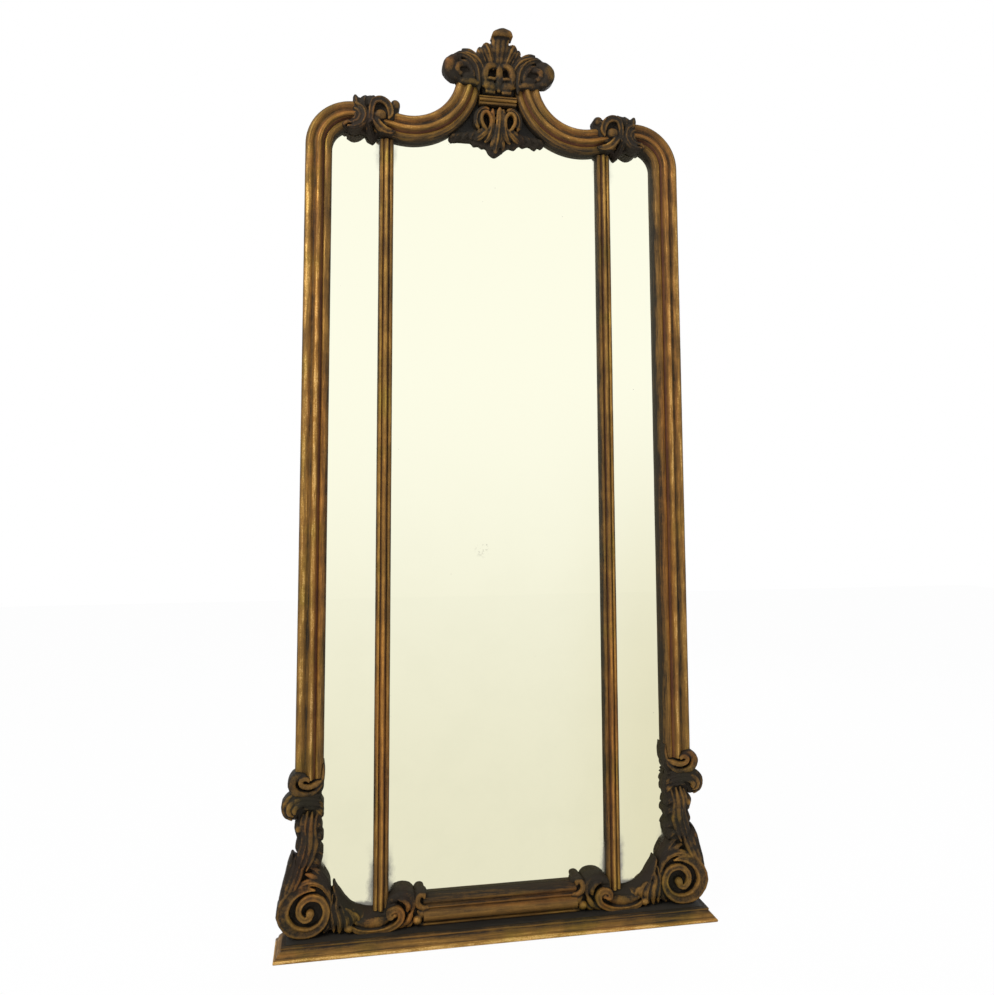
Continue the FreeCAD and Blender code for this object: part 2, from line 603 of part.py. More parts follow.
# ---------------------------------------------------------------- assembly
def build():
    hangers, fixings = hanger_screws(), batten_screws()
    left_shoulder, left_scroll = shoulder(), scroll_rail()
    left_stile = holed(housed(stile()), fixings)

    def rail_place(u, height):
        return at(-RAIL_HALF_LENGTH, height, PLINTH_TOP + MOULDING_WIDTH - u)
    rail = moulding_run(rail_place, Vector(2 * RAIL_HALF_LENGTH, 0, 0))
    rail = rail.common(block(-200, 200, GLASS_FACE, 90, PLINTH_TOP, 200))

    volute = corner_volute()
    drop = holed(fitted(leaf_drop(), left_stile, volute), fixings)
    fan = fitted(corner_leaf(), volute)
    bar = glazing_bar()
    scroll = fitted(base_scroll(), fan, bar)
    halves = {
        "stile": left_stile,
        "shoulder": left_shoulder,
        "scroll_rail": left_scroll,
        "hip_leaf": fitted(hip_leaf(), left_shoulder, left_scroll, bar),
        "crest_volute": fitted(crest_volute(), left_scroll),
        "leaf_drop": drop,
        "side_curl": fitted(side_curl(), left_stile, drop),
        "corner_volute": volute,
        "corner_leaf": fan,
        "base_scroll": scroll,
        "rail_ear": fitted(rail_ear(), rail, scroll),
        "glazing_bar": bar,
        "plinth_return": plinth_return(),
        "mirror_plate": side_panel(BAR_X + 4, GLASS_FACE - GLASS_THICKNESS, GLASS_FACE),
        "backboard": side_panel(BAR_X + 0.5, BOARD_BACK, BOARD_FRONT),
        "hanger_strap": holed(hanger_strap(), hangers),
        "hanger_ring": hanger_ring(),
    }
    parts = {}
    for name, shape in halves.items():
        parts["left_" + name] = shape
        parts["right_" + name] = mirrored(shape)

    parts["bottom_rail"] = rail
    parts["base_rail"] = block(-FRAME_HALF_WIDTH + 3, FRAME_HALF_WIDTH - 3, 0, GLASS_FACE, PLINTH_TOP,
                               BASE_RAIL_TOP)
    parts["centre_mirror_plate"] = centre_panel(BAR_X - 4, 1848, GLASS_FACE - GLASS_THICKNESS, GLASS_FACE)
    parts["centre_backboard"] = centre_panel(BAR_X - 0.5, 1848, BOARD_BACK, BOARD_FRONT)
    parts["plinth_board"] = block(-BOARD_HALF_WIDTH, BOARD_HALF_WIDTH, 0, BOARD_DEPTH, FLOOR, PLINTH_TOP)
    parts["plinth_nosing"] = plinth_nosing()

    rails = [left_scroll, parts["right_scroll_rail"]]
    volutes = [parts["left_crest_volute"], parts["right_crest_volute"]]
    ground = fitted(crest_ground(), *rails)
    little_bar = fitted(crest_bar(), *rails)
    parts["crest_ground"] = ground
    parts["crest_bar"] = little_bar
    parts["crest_palmette"] = fitted(crest_palmette(), *rails, *volutes, little_bar, ground)
    parts["pendant_palmette"] = fitted(pendant_palmette(), *rails, little_bar, ground)
    parts["crest_brace"] = block(-30, 30, 4, BOARD_BACK, 1790, 2030)

    for name, z in BATTENS.items():
        parts[name + "_batten"] = holed(batten(z), hangers + fixings)
    parts["hanger_screws"] = Part.makeCompound(hangers)
    parts["batten_screws"] = Part.makeCompound(fixings)
    return parts


def main():
    os.makedirs("parts", exist_ok=True)
    for name, shape in build().items():
        solids = shape.Solids
        sound = all(solid.isValid() and solid.isClosed() for solid in solids)
        shape = solids[0] if len(solids) == 1 else Part.makeCompound(solids)
        box = shape.BoundBox
        print("%-22s solids %d valid %s volume %9.0f  x %7.1f %7.1f  y %6.1f %6.1f  z %7.1f %7.1f" % (
            name, len(solids), sound, shape.Volume, box.XMin, box.XMax, box.YMin, box.YMax,
            box.ZMin, box.ZMax))
        shape.exportStep("parts/%s.step" % name)


main()
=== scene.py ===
"""The look of a tall trumeau mirror: worn gilding, carved ornament and old silvered plates.

Every ornament is drawn on the carver's bench: x across, y up the frame and z out of the wall,
in millimetres.  hang_up() then stands the finished piece in its place on the frame.
"""

import math

import bmesh
import bpy
import numpy as np
from mathutils import Matrix, Vector


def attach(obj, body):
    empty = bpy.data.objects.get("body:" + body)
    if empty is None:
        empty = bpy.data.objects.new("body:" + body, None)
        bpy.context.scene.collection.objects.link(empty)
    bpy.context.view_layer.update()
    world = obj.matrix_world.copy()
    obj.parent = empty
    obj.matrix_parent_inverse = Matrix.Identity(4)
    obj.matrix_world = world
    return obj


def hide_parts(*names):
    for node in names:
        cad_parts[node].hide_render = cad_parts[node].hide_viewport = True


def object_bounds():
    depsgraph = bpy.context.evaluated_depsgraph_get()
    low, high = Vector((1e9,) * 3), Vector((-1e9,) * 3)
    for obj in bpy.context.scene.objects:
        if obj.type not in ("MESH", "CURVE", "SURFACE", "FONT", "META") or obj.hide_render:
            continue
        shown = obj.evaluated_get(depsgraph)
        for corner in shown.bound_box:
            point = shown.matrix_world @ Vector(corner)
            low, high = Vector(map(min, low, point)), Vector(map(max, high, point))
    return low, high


bl_info = {
    "name": "Trumeau mirror",
    "version": (1, 0, 0),
    "blender": (4, 5, 0),
    "location": "3D View > Sidebar > Trumeau",
    "description": "Carves, gilds and stages a tall trumeau mirror on its packed frame",
    "category": "Object",
}

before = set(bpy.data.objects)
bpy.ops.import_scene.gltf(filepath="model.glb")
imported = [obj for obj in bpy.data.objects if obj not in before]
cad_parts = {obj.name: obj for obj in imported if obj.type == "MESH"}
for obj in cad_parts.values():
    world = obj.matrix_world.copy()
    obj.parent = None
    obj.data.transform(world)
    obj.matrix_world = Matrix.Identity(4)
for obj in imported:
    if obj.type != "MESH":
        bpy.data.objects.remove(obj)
CAD_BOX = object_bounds()

MM = 0.001
LINE_LIFT = 10.0                # the bench's y = 0 is this far above the floor
WALL_BACK = CAD_BOX[1][1] / MM  # the frame's back plane
PLATE_FACE = 28.0               # height of the plates' front above the wall
SIGHT = 398.0                   # half width at the frame's sight edge
STILE_FOOT = 349.0              # where the stiles' moulding starts
SPRING = 1794.0                 # where the stiles end and the shoulders begin
SHOULDER_TURN = 48.0            # the shoulders' radius at the sight edge
HIP_X = -302.0                  # where the left shoulder meets its scroll rail
SCROLL_CENTRE, SCROLL_TURN = (-215.0, 1993.0), 175.0
SCROLL_LEAN = 15.0              # degrees between the scroll rail's foot and the level
BAR_X, BAR_FOOT, BAR_HEAD = 270.0, 56.0, 1821.0
MOULDING_WIDTH, BAR_WIDTH, CREST_BAR_WIDTH = 62.0, 34.0, 22.0
RAIL_FLOOR, RAIL_HALF = 18.0, 176.0         # the plinth's top on the bench, and the bottom rail's half
CREST_BAR_Y, CREST_BAR_HALF = 1925.0, 46.0
PLINTH_HALF, PLINTH_DEPTH, PLINTH_HEIGHT = 472.0, 77.0, 28.0
# the frame's parts, and how far along the run of the streaks each one starts
FRAME_PARTS = (("stile", 0.0), ("shoulder", 1454.0), ("scroll_rail", 1580.0))
CARVING_CLOUD, MOULDING_CLOUD, CREST_BAR_CLOUD = 9 * MM, 60 * MM, 30 * MM     # sizes of the hand's wander
MOULDING_CREASE = 38            # degrees past which a moulding's edge stays crisp


# ------------------------------------------------------------------ settings
def colour(name, text, value):
    return bpy.props.FloatVectorProperty(name=name, description=text, default=value, subtype="COLOR",
                                         size=3, min=0.0, max=1.0)


def millimetres(name, text, value):
    return bpy.props.FloatProperty(name=name, description=text, default=value * MM, unit="LENGTH",
                                   subtype="DISTANCE", min=0.0, precision=4)


class TrumeauCarving(bpy.types.PropertyGroup):
    """Sizes of the carver's work."""
    grain: millimetres("Cut size", "Size of the smallest cut in the carving", 1.5)
    wander: millimetres("Hand wander", "How far the hand-cut surfaces wander", 0.9)
    straightness: millimetres("Moulding wander", "How far the long mouldings wander", 0.5)
    eye: millimetres("Volute eye", "Size of the corner volutes' eyes", 12.0)


class TrumeauFinish(bpy.types.PropertyGroup):
    """Colours of the gilding, the ground and the silvering."""
    gold: colour("Burnished gold", "The gilding on the high edges", (0.50, 0.275, 0.062))
    ochre: colour("Old gilding", "The gilding on the broad surfaces", (0.215, 0.108, 0.023))
    umber: colour("Umber wash", "The toning that lies in the hollows", (0.020, 0.014, 0.008))
    bole: colour("Red bole", "The clay that shows where the gold has worn through", (0.17, 0.055, 0.025))
    chip: colour("Bare gesso", "The pale gesso at the chips", (0.46, 0.34, 0.22))
    ebony: colour("Dark ground", "The near-black wood of the plinth and crest board", (0.017, 0.015, 0.012))
    pine: colour("Back wood", "The bare wood of the back", (0.30, 0.19, 0.10))
    silver: colour("Silvering", "The plates' reflection", (0.985, 0.98, 0.80))
    # also the painted shade of the carvings' reflection beside the bars and the foot
    foxing: colour("Lost silvering", "The plates where the silver has gone", (0.30, 0.29, 0.26))


def carving():
    return bpy.context.scene.trumeau_carving


def finish():
    return bpy.context.scene.trumeau_finish


# ------------------------------------------------------------------ node helpers
def shade(colour, by):
    return tuple(by * c for c in colour)


class Sheet:
    """A node tree, with short ways to add and join nodes."""

    def __init__(self, tree):
        self.tree = tree

    def node(self, kind, **values):
        made = self.tree.nodes.new(kind)
        for key, value in values.items():
            setattr(made, key, value)
        return made

    def join(self, out, into):
        self.tree.links.new(out, into)

    def feed(self, socket, value):
        """Joins an output to a socket, or sets the socket's own number, vector or colour."""
        if isinstance(value, bpy.types.NodeSocket):
            self.join(value, socket)
        else:
            socket.default_value = (*value, 1.0) if socket.type == "RGBA" else value

    def fill(self, node, **values):
        """Feeds a node's inputs by their names, with _ for a space."""
        for key, value in values.items():
            self.feed(node.inputs[key.replace("_", " ")], value)
        return node

    def math(self, operation, a, b=0.0):
        made = self.node("ShaderNodeMath", operation=operation)
        self.feed(made.inputs[0], a)
        self.feed(made.inputs[1], b)
        return made.outputs[0]

    def plus(self, a, b):
        return self.math("ADD", a, b)

    def minus(self, a, b):
        return self.math("SUBTRACT", a, b)

    def times(self, a, b):
        return self.math("MULTIPLY", a, b)

    def most(self, a, b):
        return self.math("MAXIMUM", a, b)

    def least(self, a, b):
        return self.math("MINIMUM", a, b)

    def noise(self, vector, scale, detail=3.0, rough=0.6):
        made = self.node("ShaderNodeTexNoise")
        return self.fill(made, Vector=vector, Scale=scale, Detail=detail, Roughness=rough).outputs[0]

    def spread(self, value, low, high, to_low=0.0, to_high=1.0):
        """A smooth step of the value, from low to high."""
        made = self.node("ShaderNodeMapRange", interpolation_type="SMOOTHSTEP")
        for socket, number in zip(made.inputs[:5], (value, low, high, to_low, to_high)):
            self.feed(socket, number)
        return made.outputs[0]

    def mix(self, factor, a, b, blend="MIX"):
        made = self.node("ShaderNodeMix", data_type="RGBA", blend_type=blend)
        for place, value in ((0, factor), (6, a), (7, b)):
            self.feed(made.inputs[place], value)
        return made.outputs[2]

    def ramp(self, factor, stops):
        made = self.node("ShaderNodeValToRGB")
        band = made.color_ramp.elements
        while len(band) < len(stops):
            band.new(0.5)
        for element, (place, value) in zip(band, stops):
            element.position = place
            element.color = (*value, 1.0)
        self.feed(made.inputs[0], factor)
        return made.outputs[0]

    def grey_ramp(self, factor, stops):
        return self.ramp(factor, [(place, (value, value, value)) for place, value in stops])

    def scaled(self, vector, size):
        return self.fill(self.node("ShaderNodeMapping"), Vector=vector, Scale=size).outputs[0]

    def place(self):
        return self.node("ShaderNodeTexCoord").outputs["Object"]

    def axes(self, place):
        return self.fill(self.node("ShaderNodeSeparateXYZ"), Vector=place).outputs

    def attribute(self, name, output="Fac"):
        return self.node("ShaderNodeAttribute", attribute_name=name).outputs[output]

    def seen_by(self, *rays):
        """1 for rays of the given kinds, else 0."""
        path = self.node("ShaderNodeLightPath").outputs
        seen = path["Is " + rays[0] + " Ray"]
        for ray in rays[1:]:
            seen = self.most(seen, path["Is " + ray + " Ray"])
        return seen

    def blend(self, factor, one, other):
        """Two shaders in one, by a factor."""
        made = self.node("ShaderNodeMixShader")
        for place, value in enumerate((factor, one, other)):
            self.feed(made.inputs[place], value)
        return made.outputs[0]


def new_group(name, inputs, outputs):
    """An empty node group with named sockets: (name, kind, default) in and (name, kind) out."""
    tree = bpy.data.node_groups.new(name, "ShaderNodeTree")
    for label, kind, value in inputs:
        socket = tree.interface.new_socket(label, in_out="INPUT", socket_type="NodeSocket" + kind)
        if value is not None:
            socket.default_value = value
    for label, kind in outputs:
        tree.interface.new_socket(label, in_out="OUTPUT", socket_type="NodeSocket" + kind)
    sheet = Sheet(tree)
    return sheet, sheet.node("NodeGroupInput"), sheet.node("NodeGroupOutput")


def place_group(sheet, name, **values):
    return sheet.fill(sheet.node("ShaderNodeGroup", node_tree=bpy.data.node_groups[name]), **values)


OLIVE_CAST, WARM_CAST = (0.82, 1.06, 0.62), (1.22, 0.92, 0.80)
# the colour of the painted highlights on the gilding's ridges
PAINTED_GLINT = (0.72, 0.46, 0.17)


def gilding_group():
    """Old gilding: gold on the high edges, umber in the hollows, red bole and gesso where it has gone, and
    painted highlights on the ridges.
    """
    look = finish()
    sheet, given, out = new_group(
        "old gilding",
        [("Place", "Vector", None), ("Along", "Vector", None), ("Relief", "Float", 0.5),
         ("Tone", "Float", 0.5), ("Bole", "Float", 0.0), ("Wear", "Float", 0.5)],
        [("Color", "Color"), ("Roughness", "Float"), ("Metallic", "Float"), ("Height", "Float")])
    place, along, relief, tone, bole, wear = given.outputs[:6]
    patch = sheet.noise(place, 13.0, 4.0, 0.62)
    streak = sheet.noise(along, 150.0, 5.0, 0.62)
    fine = sheet.noise(along, 620.0, 3.0, 0.7)
    speck = sheet.noise(place, 420.0, 3.0, 0.65)

    def centred(value, size):
        return sheet.times(sheet.minus(value, 0.5), size)

    # how much gold is left: the relief and the drawn tone, which bring in painted light and shade too, broken
    # up by patches and streaks
    level = sheet.plus(tone, centred(relief, 0.85))
    grit = sheet.plus(0.30, sheet.times(wear, 0.85))
    for value, size in ((patch, 0.26), (streak, 0.36), (fine, 0.24), (speck, 0.14)):
        level = sheet.plus(level, sheet.times(centred(sheet.spread(value, 0.34, 0.66), size), grit))
    level = sheet.most(sheet.least(level, 1.0), 0.0)
    brown = tuple(0.68 * a + 0.32 * b for a, b in zip(look.umber, look.ochre))
    light = tuple(0.35 * a + 0.65 * b for a, b in zip(look.gold, look.ochre))
    toned = sheet.ramp(level, [(0.0, look.umber), (0.20, brown), (0.42, shade(look.ochre, 0.72)),
                               (0.58, look.ochre), (0.78, light), (1.0, look.gold)])
    for where, scale, low, high, strength, cast in ((place, 8.0, 0.50, 0.72, 0.55, OLIVE_CAST),
                                                    (along, 21.0, 0.52, 0.70, 0.7, WARM_CAST)):
        cloud = sheet.spread(sheet.noise(where, scale), low, high, 0.0, strength)
        toned = sheet.mix(cloud, toned, sheet.mix(1.0, toned, cast, "MULTIPLY"))
    rubbed = sheet.times(sheet.spread(sheet.noise(along, 75.0, 4.0, 0.7), 0.58, 0.70),
                         sheet.spread(level, 0.30, 0.60))
    rubbed = sheet.most(sheet.times(rubbed, wear), bole)
    worn = sheet.mix(sheet.times(rubbed, 0.75), toned, look.bole)
    # painted highlight: bright gold flecks where the gilding is high and the relief stands up
    painted_glint = sheet.times(sheet.spread(sheet.plus(level, centred(speck, 0.8)), 0.86, 1.05),
                        sheet.spread(relief, 0.5, 0.66))
    with_painted_highlight = sheet.mix(sheet.times(painted_glint, 0.7), worn, PAINTED_GLINT)
    chipped = sheet.times(sheet.spread(sheet.noise(place, 70.0, 5.0, 0.75), 0.705, 0.735),
                          sheet.spread(relief, 0.54, 0.70))
    chipped = sheet.times(chipped, wear)
    height = sheet.plus(sheet.times(streak, 0.6), sheet.times(fine, 0.35))
    height = sheet.plus(height, sheet.times(speck, 0.3))
    sheet.fill(out, Color=sheet.mix(chipped, with_painted_highlight, look.chip),
               Roughness=sheet.minus(sheet.spread(level, 0.1, 0.9, 0.74, 0.46), centred(fine, 0.25)),
               Metallic=sheet.times(sheet.spread(level, 0.30, 0.90, 0.0, 0.55), sheet.minus(1.0, chipped)),
               Height=sheet.minus(height, sheet.times(chipped, 0.9)))


def grain_group():
    """Wood grain along Z or X, as a mask and a height."""
    sheet, given, out = new_group(
        "wood grain", [("Place", "Vector", None)], [("Mask", "Float"), ("Height", "Float")])
    place = given.outputs["Place"]
    rings = sheet.noise(place, 30.0, 6.0, 0.62)
    pores = sheet.noise(place, 260.0, 3.0, 0.7)
    mask = sheet.plus(sheet.times(rings, 0.7), sheet.times(pores, 0.3))
    sheet.fill(out, Mask=mask, Height=sheet.plus(mask, sheet.times(pores, 0.4)))


def grained(sheet, place, stretch, light, dark):
    """The wood grain's group on a piece, and its colour between light and dark."""
    grain = place_group(sheet, "wood grain", Place=sheet.scaled(place, stretch))
    return grain, sheet.mix(sheet.spread(grain.outputs["Mask"], 0.35, 0.65), light, dark)


def new_material(name):
    made = bpy.data.materials.new(name)
    made.use_nodes = True
    made.node_tree.nodes.clear()
    sheet = Sheet(made.node_tree)
    surface = sheet.node("ShaderNodeBsdfPrincipled")
    sheet.join(surface.outputs[0], sheet.node("ShaderNodeOutputMaterial").inputs[0])
    return made, sheet, surface


def bumped(sheet, surface, height, strength, distance):
    bump = sheet.fill(sheet.node("ShaderNodeBump"), Strength=strength, Distance=distance, Height=height)
    sheet.join(bump.outputs[0], surface.inputs["Normal"])


def gilt_material(name, wear, tone=None, tones=None, bole=None):
    """Old gilding, with one tone, or with tones and bole that follow a moulding's section.

    The mouldings carry their place in the section and along the run as 'across' and 'course'.
    """
    made, sheet, surface = new_material(name)
    look = finish()
    place = sheet.place()
    axes = sheet.axes(place)
    values = {"Place": place, "Relief": sheet.attribute("relief"), "Wear": wear}
    if tones:
        across = sheet.attribute("across")
        values["Along"] = sheet.attribute("course", "Vector")
        # painted shade: the gilding is made darker on the crest's rails and towards the right-hand side
        painted_shade = sheet.plus(sheet.spread(axes["Z"], 1.76, 1.87, 0.0, 0.13),
                           sheet.spread(axes["X"], 0.0, 0.45, 0.0, 0.09))
        values["Tone"] = sheet.minus(sheet.grey_ramp(across, tones), painted_shade)
        if bole:
            values["Bole"] = sheet.grey_ramp(across, bole)
    else:
        values["Along"] = sheet.scaled(place, (0.6, 0.6, 0.45))
        values["Tone"] = tone
    gilt = place_group(sheet, "old gilding", **values)
    # the gilder stopped at the edge: behind it the frame is bare wood
    bare = sheet.spread(axes["Y"], 0.036, 0.044)
    wood = grained(sheet, place, (0.5, 1.0, 0.12), shade(look.pine, 0.6), shade(look.pine, 0.32))[1]
    sheet.fill(surface, Base_Color=sheet.mix(bare, gilt.outputs["Color"], wood),
               Roughness=gilt.outputs["Roughness"],
               Metallic=sheet.times(gilt.outputs["Metallic"], sheet.minus(1.0, bare)),
               Specular_IOR_Level=0.22)
    bumped(sheet, surface, gilt.outputs["Height"], 0.6, 0.0014)
    return made


def wood_material(name, stretch, colours, cloud, stain, rough, specular, bump):
    """Stained wood.  The cloud is the stain's noise (scale, detail, roughness, low, high, strength)."""
    made, sheet, surface = new_material(name)
    place = sheet.place()
    grain, base = grained(sheet, place, stretch, *colours)
    scale, detail, fuzz, low, high, strength = cloud
    stained = sheet.spread(sheet.noise(place, scale, detail, fuzz), low, high, 0.0, strength)
    sheet.fill(surface, Base_Color=sheet.mix(stained, base, stain),
               Roughness=sheet.spread(grain.outputs["Mask"], 0.3, 0.7, *rough), Specular_IOR_Level=specular)
    bumped(sheet, surface, grain.outputs["Height"], *bump)
    return made


def back_wood_material(name, stretch):
    pine = finish().pine
    return wood_material(name, stretch, (pine, shade(pine, 0.55)), (5.0, 4.0, 0.6, 0.4, 0.7, 0.7),
                         (0.12, 0.08, 0.05), (0.85, 0.7), 0.5, (0.35, 0.0008))


def steel_material():
    made, sheet, surface = new_material("dull_zinc")
    place = sheet.place()
    rust = sheet.spread(sheet.noise(place, 240.0, 5.0, 0.7), 0.54, 0.68, 0.0, 0.8)
    cloud = sheet.noise(place, 600.0)
    zinc = sheet.mix(cloud, (0.34, 0.34, 0.33), (0.22, 0.22, 0.22))
    sheet.fill(surface, Base_Color=sheet.mix(rust, zinc, (0.13, 0.055, 0.025)),
               Metallic=sheet.minus(0.95, rust), Roughness=sheet.spread(cloud, 0.3, 0.7, 0.38, 0.6))
    bumped(sheet, surface, cloud, 0.25, 0.0004)
    return made


FLAW = (-0.038, (WALL_BACK - PLATE_FACE) * MM, 0.852)   # a small flaw in the middle plate


def mirror_material():
    """Old plate: a little yellow, with painted shade of its reflection that darkens it towards the foot and
    the lower right, and with ragged grey beside the bars' feet that is partly silver gone and partly painted
    shade of the carvings' reflection.
    """
    made, sheet, surface = new_material("old_silvering")
    look = finish()
    place = sheet.place()
    axes = sheet.axes(place)
    x, z = axes["X"], axes["Z"]
    # painted shade of the reflection: the plate is darker towards the foot, more so at the lower right; the
    # mottle there is the plate's own
    low = sheet.spread(z, 1.35, 0.05)
    tint = sheet.mix(sheet.times(low, sheet.spread(z, 1.3, 0.5, 0.75, 1.0)), look.silver,
                     (0.80, 0.775, 0.565))
    tint = sheet.mix(sheet.times(low, sheet.spread(x, 0.1, 0.4, 0.0, 0.8)), tint, (0.74, 0.70, 0.47))
    mottle = sheet.spread(sheet.noise(place, 11.0, 4.0), 0.35, 0.75, 0.0, 0.07)
    tint = sheet.mix(sheet.times(mottle, low), tint, (0.55, 0.56, 0.40))
    # how far a point is from the bars, the stiles' feet and the lower carvings
    aside = sheet.math("ABSOLUTE", x)
    to_bar = sheet.minus(sheet.math("ABSOLUTE", sheet.minus(aside, BAR_X * MM)), BAR_WIDTH / 2 * MM)
    to_stile = sheet.minus(SIGHT * MM, aside)
    to_foot = sheet.times(sheet.minus(z, 0.078), 2.2)
    cloud = sheet.noise(place, 24.0, 5.0, 0.65)
    wisps = sheet.noise(sheet.scaled(place, (1.0, 1.0, 0.3)), 70.0, 4.0, 0.65)
    ragged = sheet.plus(sheet.times(cloud, 0.030), sheet.times(wisps, 0.016))
    near = sheet.least(to_foot, sheet.least(to_bar, to_stile))
    # a ragged grey band beside the bars, the stiles and the foot, and by the bars' heads: partly silver that
    # has gone, partly painted shade of the carvings' reflection
    foot = sheet.times(sheet.spread(sheet.minus(ragged, near), 0.006, 0.026),
                       sheet.spread(z, 0.215, 0.135, 0.0, 0.9))
    head = sheet.times(sheet.spread(sheet.minus(ragged, to_bar), 0.012, 0.028),
                       sheet.spread(z, 1.745, 1.80, 0.0, 0.45))
    lost_silver_and_shade = sheet.most(foot, head)
    flaw = sheet.node("ShaderNodeVectorMath", operation="DISTANCE")
    sheet.join(place, flaw.inputs[0])
    flaw.inputs[1].default_value = FLAW
    scar = sheet.times(sheet.spread(flaw.outputs["Value"], 0.022, 0.008),
                       sheet.spread(sheet.noise(place, 190.0), 0.52, 0.60))
    spots = sheet.times(sheet.spread(sheet.noise(place, 130.0, 1.0, 0.4), 0.80, 0.83), 0.5)
    marks = sheet.most(sheet.times(scar, 0.28), spots)
    sheet.fill(surface, Base_Color=sheet.mix(sheet.most(lost_silver_and_shade, marks), tint, look.foxing), Metallic=1.0,
               Roughness=sheet.spread(lost_silver_and_shade, 0.0, 1.0, 0.012, 0.5))
    bumped(sheet, surface, sheet.noise(place, 5.0, 1.0, 0.4), 0.03, 0.002)
    return made


# how much gold there is across each section, and how much red bole: (part of the width, amount); the gold
# tone also paints shade in the quirks, coves and flanks and highlight on the crests
MOULDING_TONES = [(0.00, 0.10), (0.04, 0.30), (0.13, 0.44), (0.20, 0.52), (0.255, 0.78), (0.285, 0.66),
                  (0.305, 0.06), (0.335, 0.12), (0.39, 0.44), (0.46, 0.66), (0.53, 0.62), (0.585, 0.42),
                  (0.615, 0.24), (0.660, 0.22), (0.70, 0.36), (0.78, 0.58), (0.88, 0.70), (0.96, 0.46),
                  (1.00, 0.12)]
MOULDING_BOLE = [(0.285, 0.0), (0.315, 0.7), (0.35, 0.5), (0.385, 0.0)]
BAR_TONES = [(0.0, 0.14), (0.07, 0.40), (0.15, 0.74), (0.22, 0.96), (0.27, 0.60), (0.31, 0.08), (0.36, 0.46),
             (0.44, 0.68), (0.53, 0.84), (0.60, 0.50), (0.68, 0.10), (0.73, 0.44), (0.82, 0.66), (0.91, 0.46),
             (1.0, 0.16)]
BAR_BOLE = [(0.27, 0.0), (0.31, 0.5), (0.36, 0.0), (0.62, 0.0), (0.67, 0.5), (0.71, 0.0)]
BASE_TONES = [(0.00, 0.06), (0.10, 0.12), (0.18, 0.30), (0.27, 0.20), (0.31, 0.05), (0.36, 0.50),
              (0.44, 0.26), (0.60, 0.36), (0.78, 0.22), (0.86, 0.06), (0.92, 0.56), (1.00, 0.34)]
CREST_BAR_TONES = [(0.00, 0.20), (0.14, 0.46), (0.30, 0.34), (0.42, 0.66), (0.62, 0.52), (0.74, 0.16),
                   (0.86, 0.66), (1.00, 0.40)]
# the plinth's runs from the floor up: a gilt torus, a quirk darkened with painted shade, a brown ogee and a
# thin light fillet
PLINTH_TONES = [(0.00, 0.40), (0.10, 0.70), (0.22, 0.80), (0.31, 0.60), (0.36, 0.10), (0.44, 0.34),
                (0.58, 0.44), (0.70, 0.30), (0.79, 0.06), (0.86, 0.36), (0.90, 0.50), (1.00, 0.05)]
STOCK = {}        # the mixed materials, by their short names


def make_materials():
    gilding_group()
    grain_group()
    look = finish()
    return {
        "moulding": gilt_material("gilt_moulding", 0.8, tones=MOULDING_TONES, bole=MOULDING_BOLE),
        "bar": gilt_material("gilt_bar", 0.7, tones=BAR_TONES, bole=BAR_BOLE),
        "base": gilt_material("gilt_base_rail", 0.5, tones=BASE_TONES),
        "crest_bar": gilt_material("gilt_crest_bar", 0.6, tones=CREST_BAR_TONES),
        "plinth": gilt_material("gilt_plinth", 0.6, tones=PLINTH_TONES),
        "carving": gilt_material("gilt_carving", 0.30, tone=0.055),
        "crest": gilt_material("gilt_crest", 0.25, tone=0.085),
        "dark": wood_material("ebonised_wood", (0.08, 1.0, 1.0), (look.ebony, shade(look.ebony, 2.1)),
                              (22.0, 5.0, 0.65, 0.45, 0.75, 0.35), (0.038, 0.032, 0.022), (0.50, 0.68),
                              0.2, (0.3, 0.0006)),
        "back": back_wood_material("back_wood_upright", (1.0, 1.0, 0.08)),
        "batten": back_wood_material("back_wood_across", (0.08, 1.0, 1.0)),
        "steel": steel_material(),
        "mirror": mirror_material(),
    }


# ------------------------------------------------------------------ the bench
def clear_bench():
    if bpy.context.object and bpy.context.object.mode != "OBJECT":
        bpy.ops.object.mode_set(mode="OBJECT")
    bpy.ops.object.select_all(action="DESELECT")


def take(piece):
    clear_bench()
    piece.select_set(True)
    bpy.context.view_layer.objects.active = piece


def smooth_path(points, per_span):
    """Points along a smooth curve through the given ones, per_span to each span."""
    p = [Vector(q) for q in points]
    p = [2 * p[0] - p[1]] + p + [2 * p[-1] - p[-2]]
    out = []
    for i in range(1, len(p) - 2):
        a, b, c, d = p[i - 1:i + 3]
        for j in range(per_span):
            t = j / per_span
            out.append(0.5 * (2 * b + (c - a) * t + (2 * a - 5 * b + 4 * c - d) * t * t
                              + (3 * b - a - 3 * c + d) * t ** 3))
    return out + [p[-2]]


def graded(values, t):
    """A smooth reading at t, from 0 to 1, of values that are evenly spaced."""
    place = t * (len(values) - 1)
    i = min(int(place), len(values) - 2)
    f = place - i
    f = f * f * (3 - 2 * f)
    return values[i] * (1 - f) + values[i + 1] * f


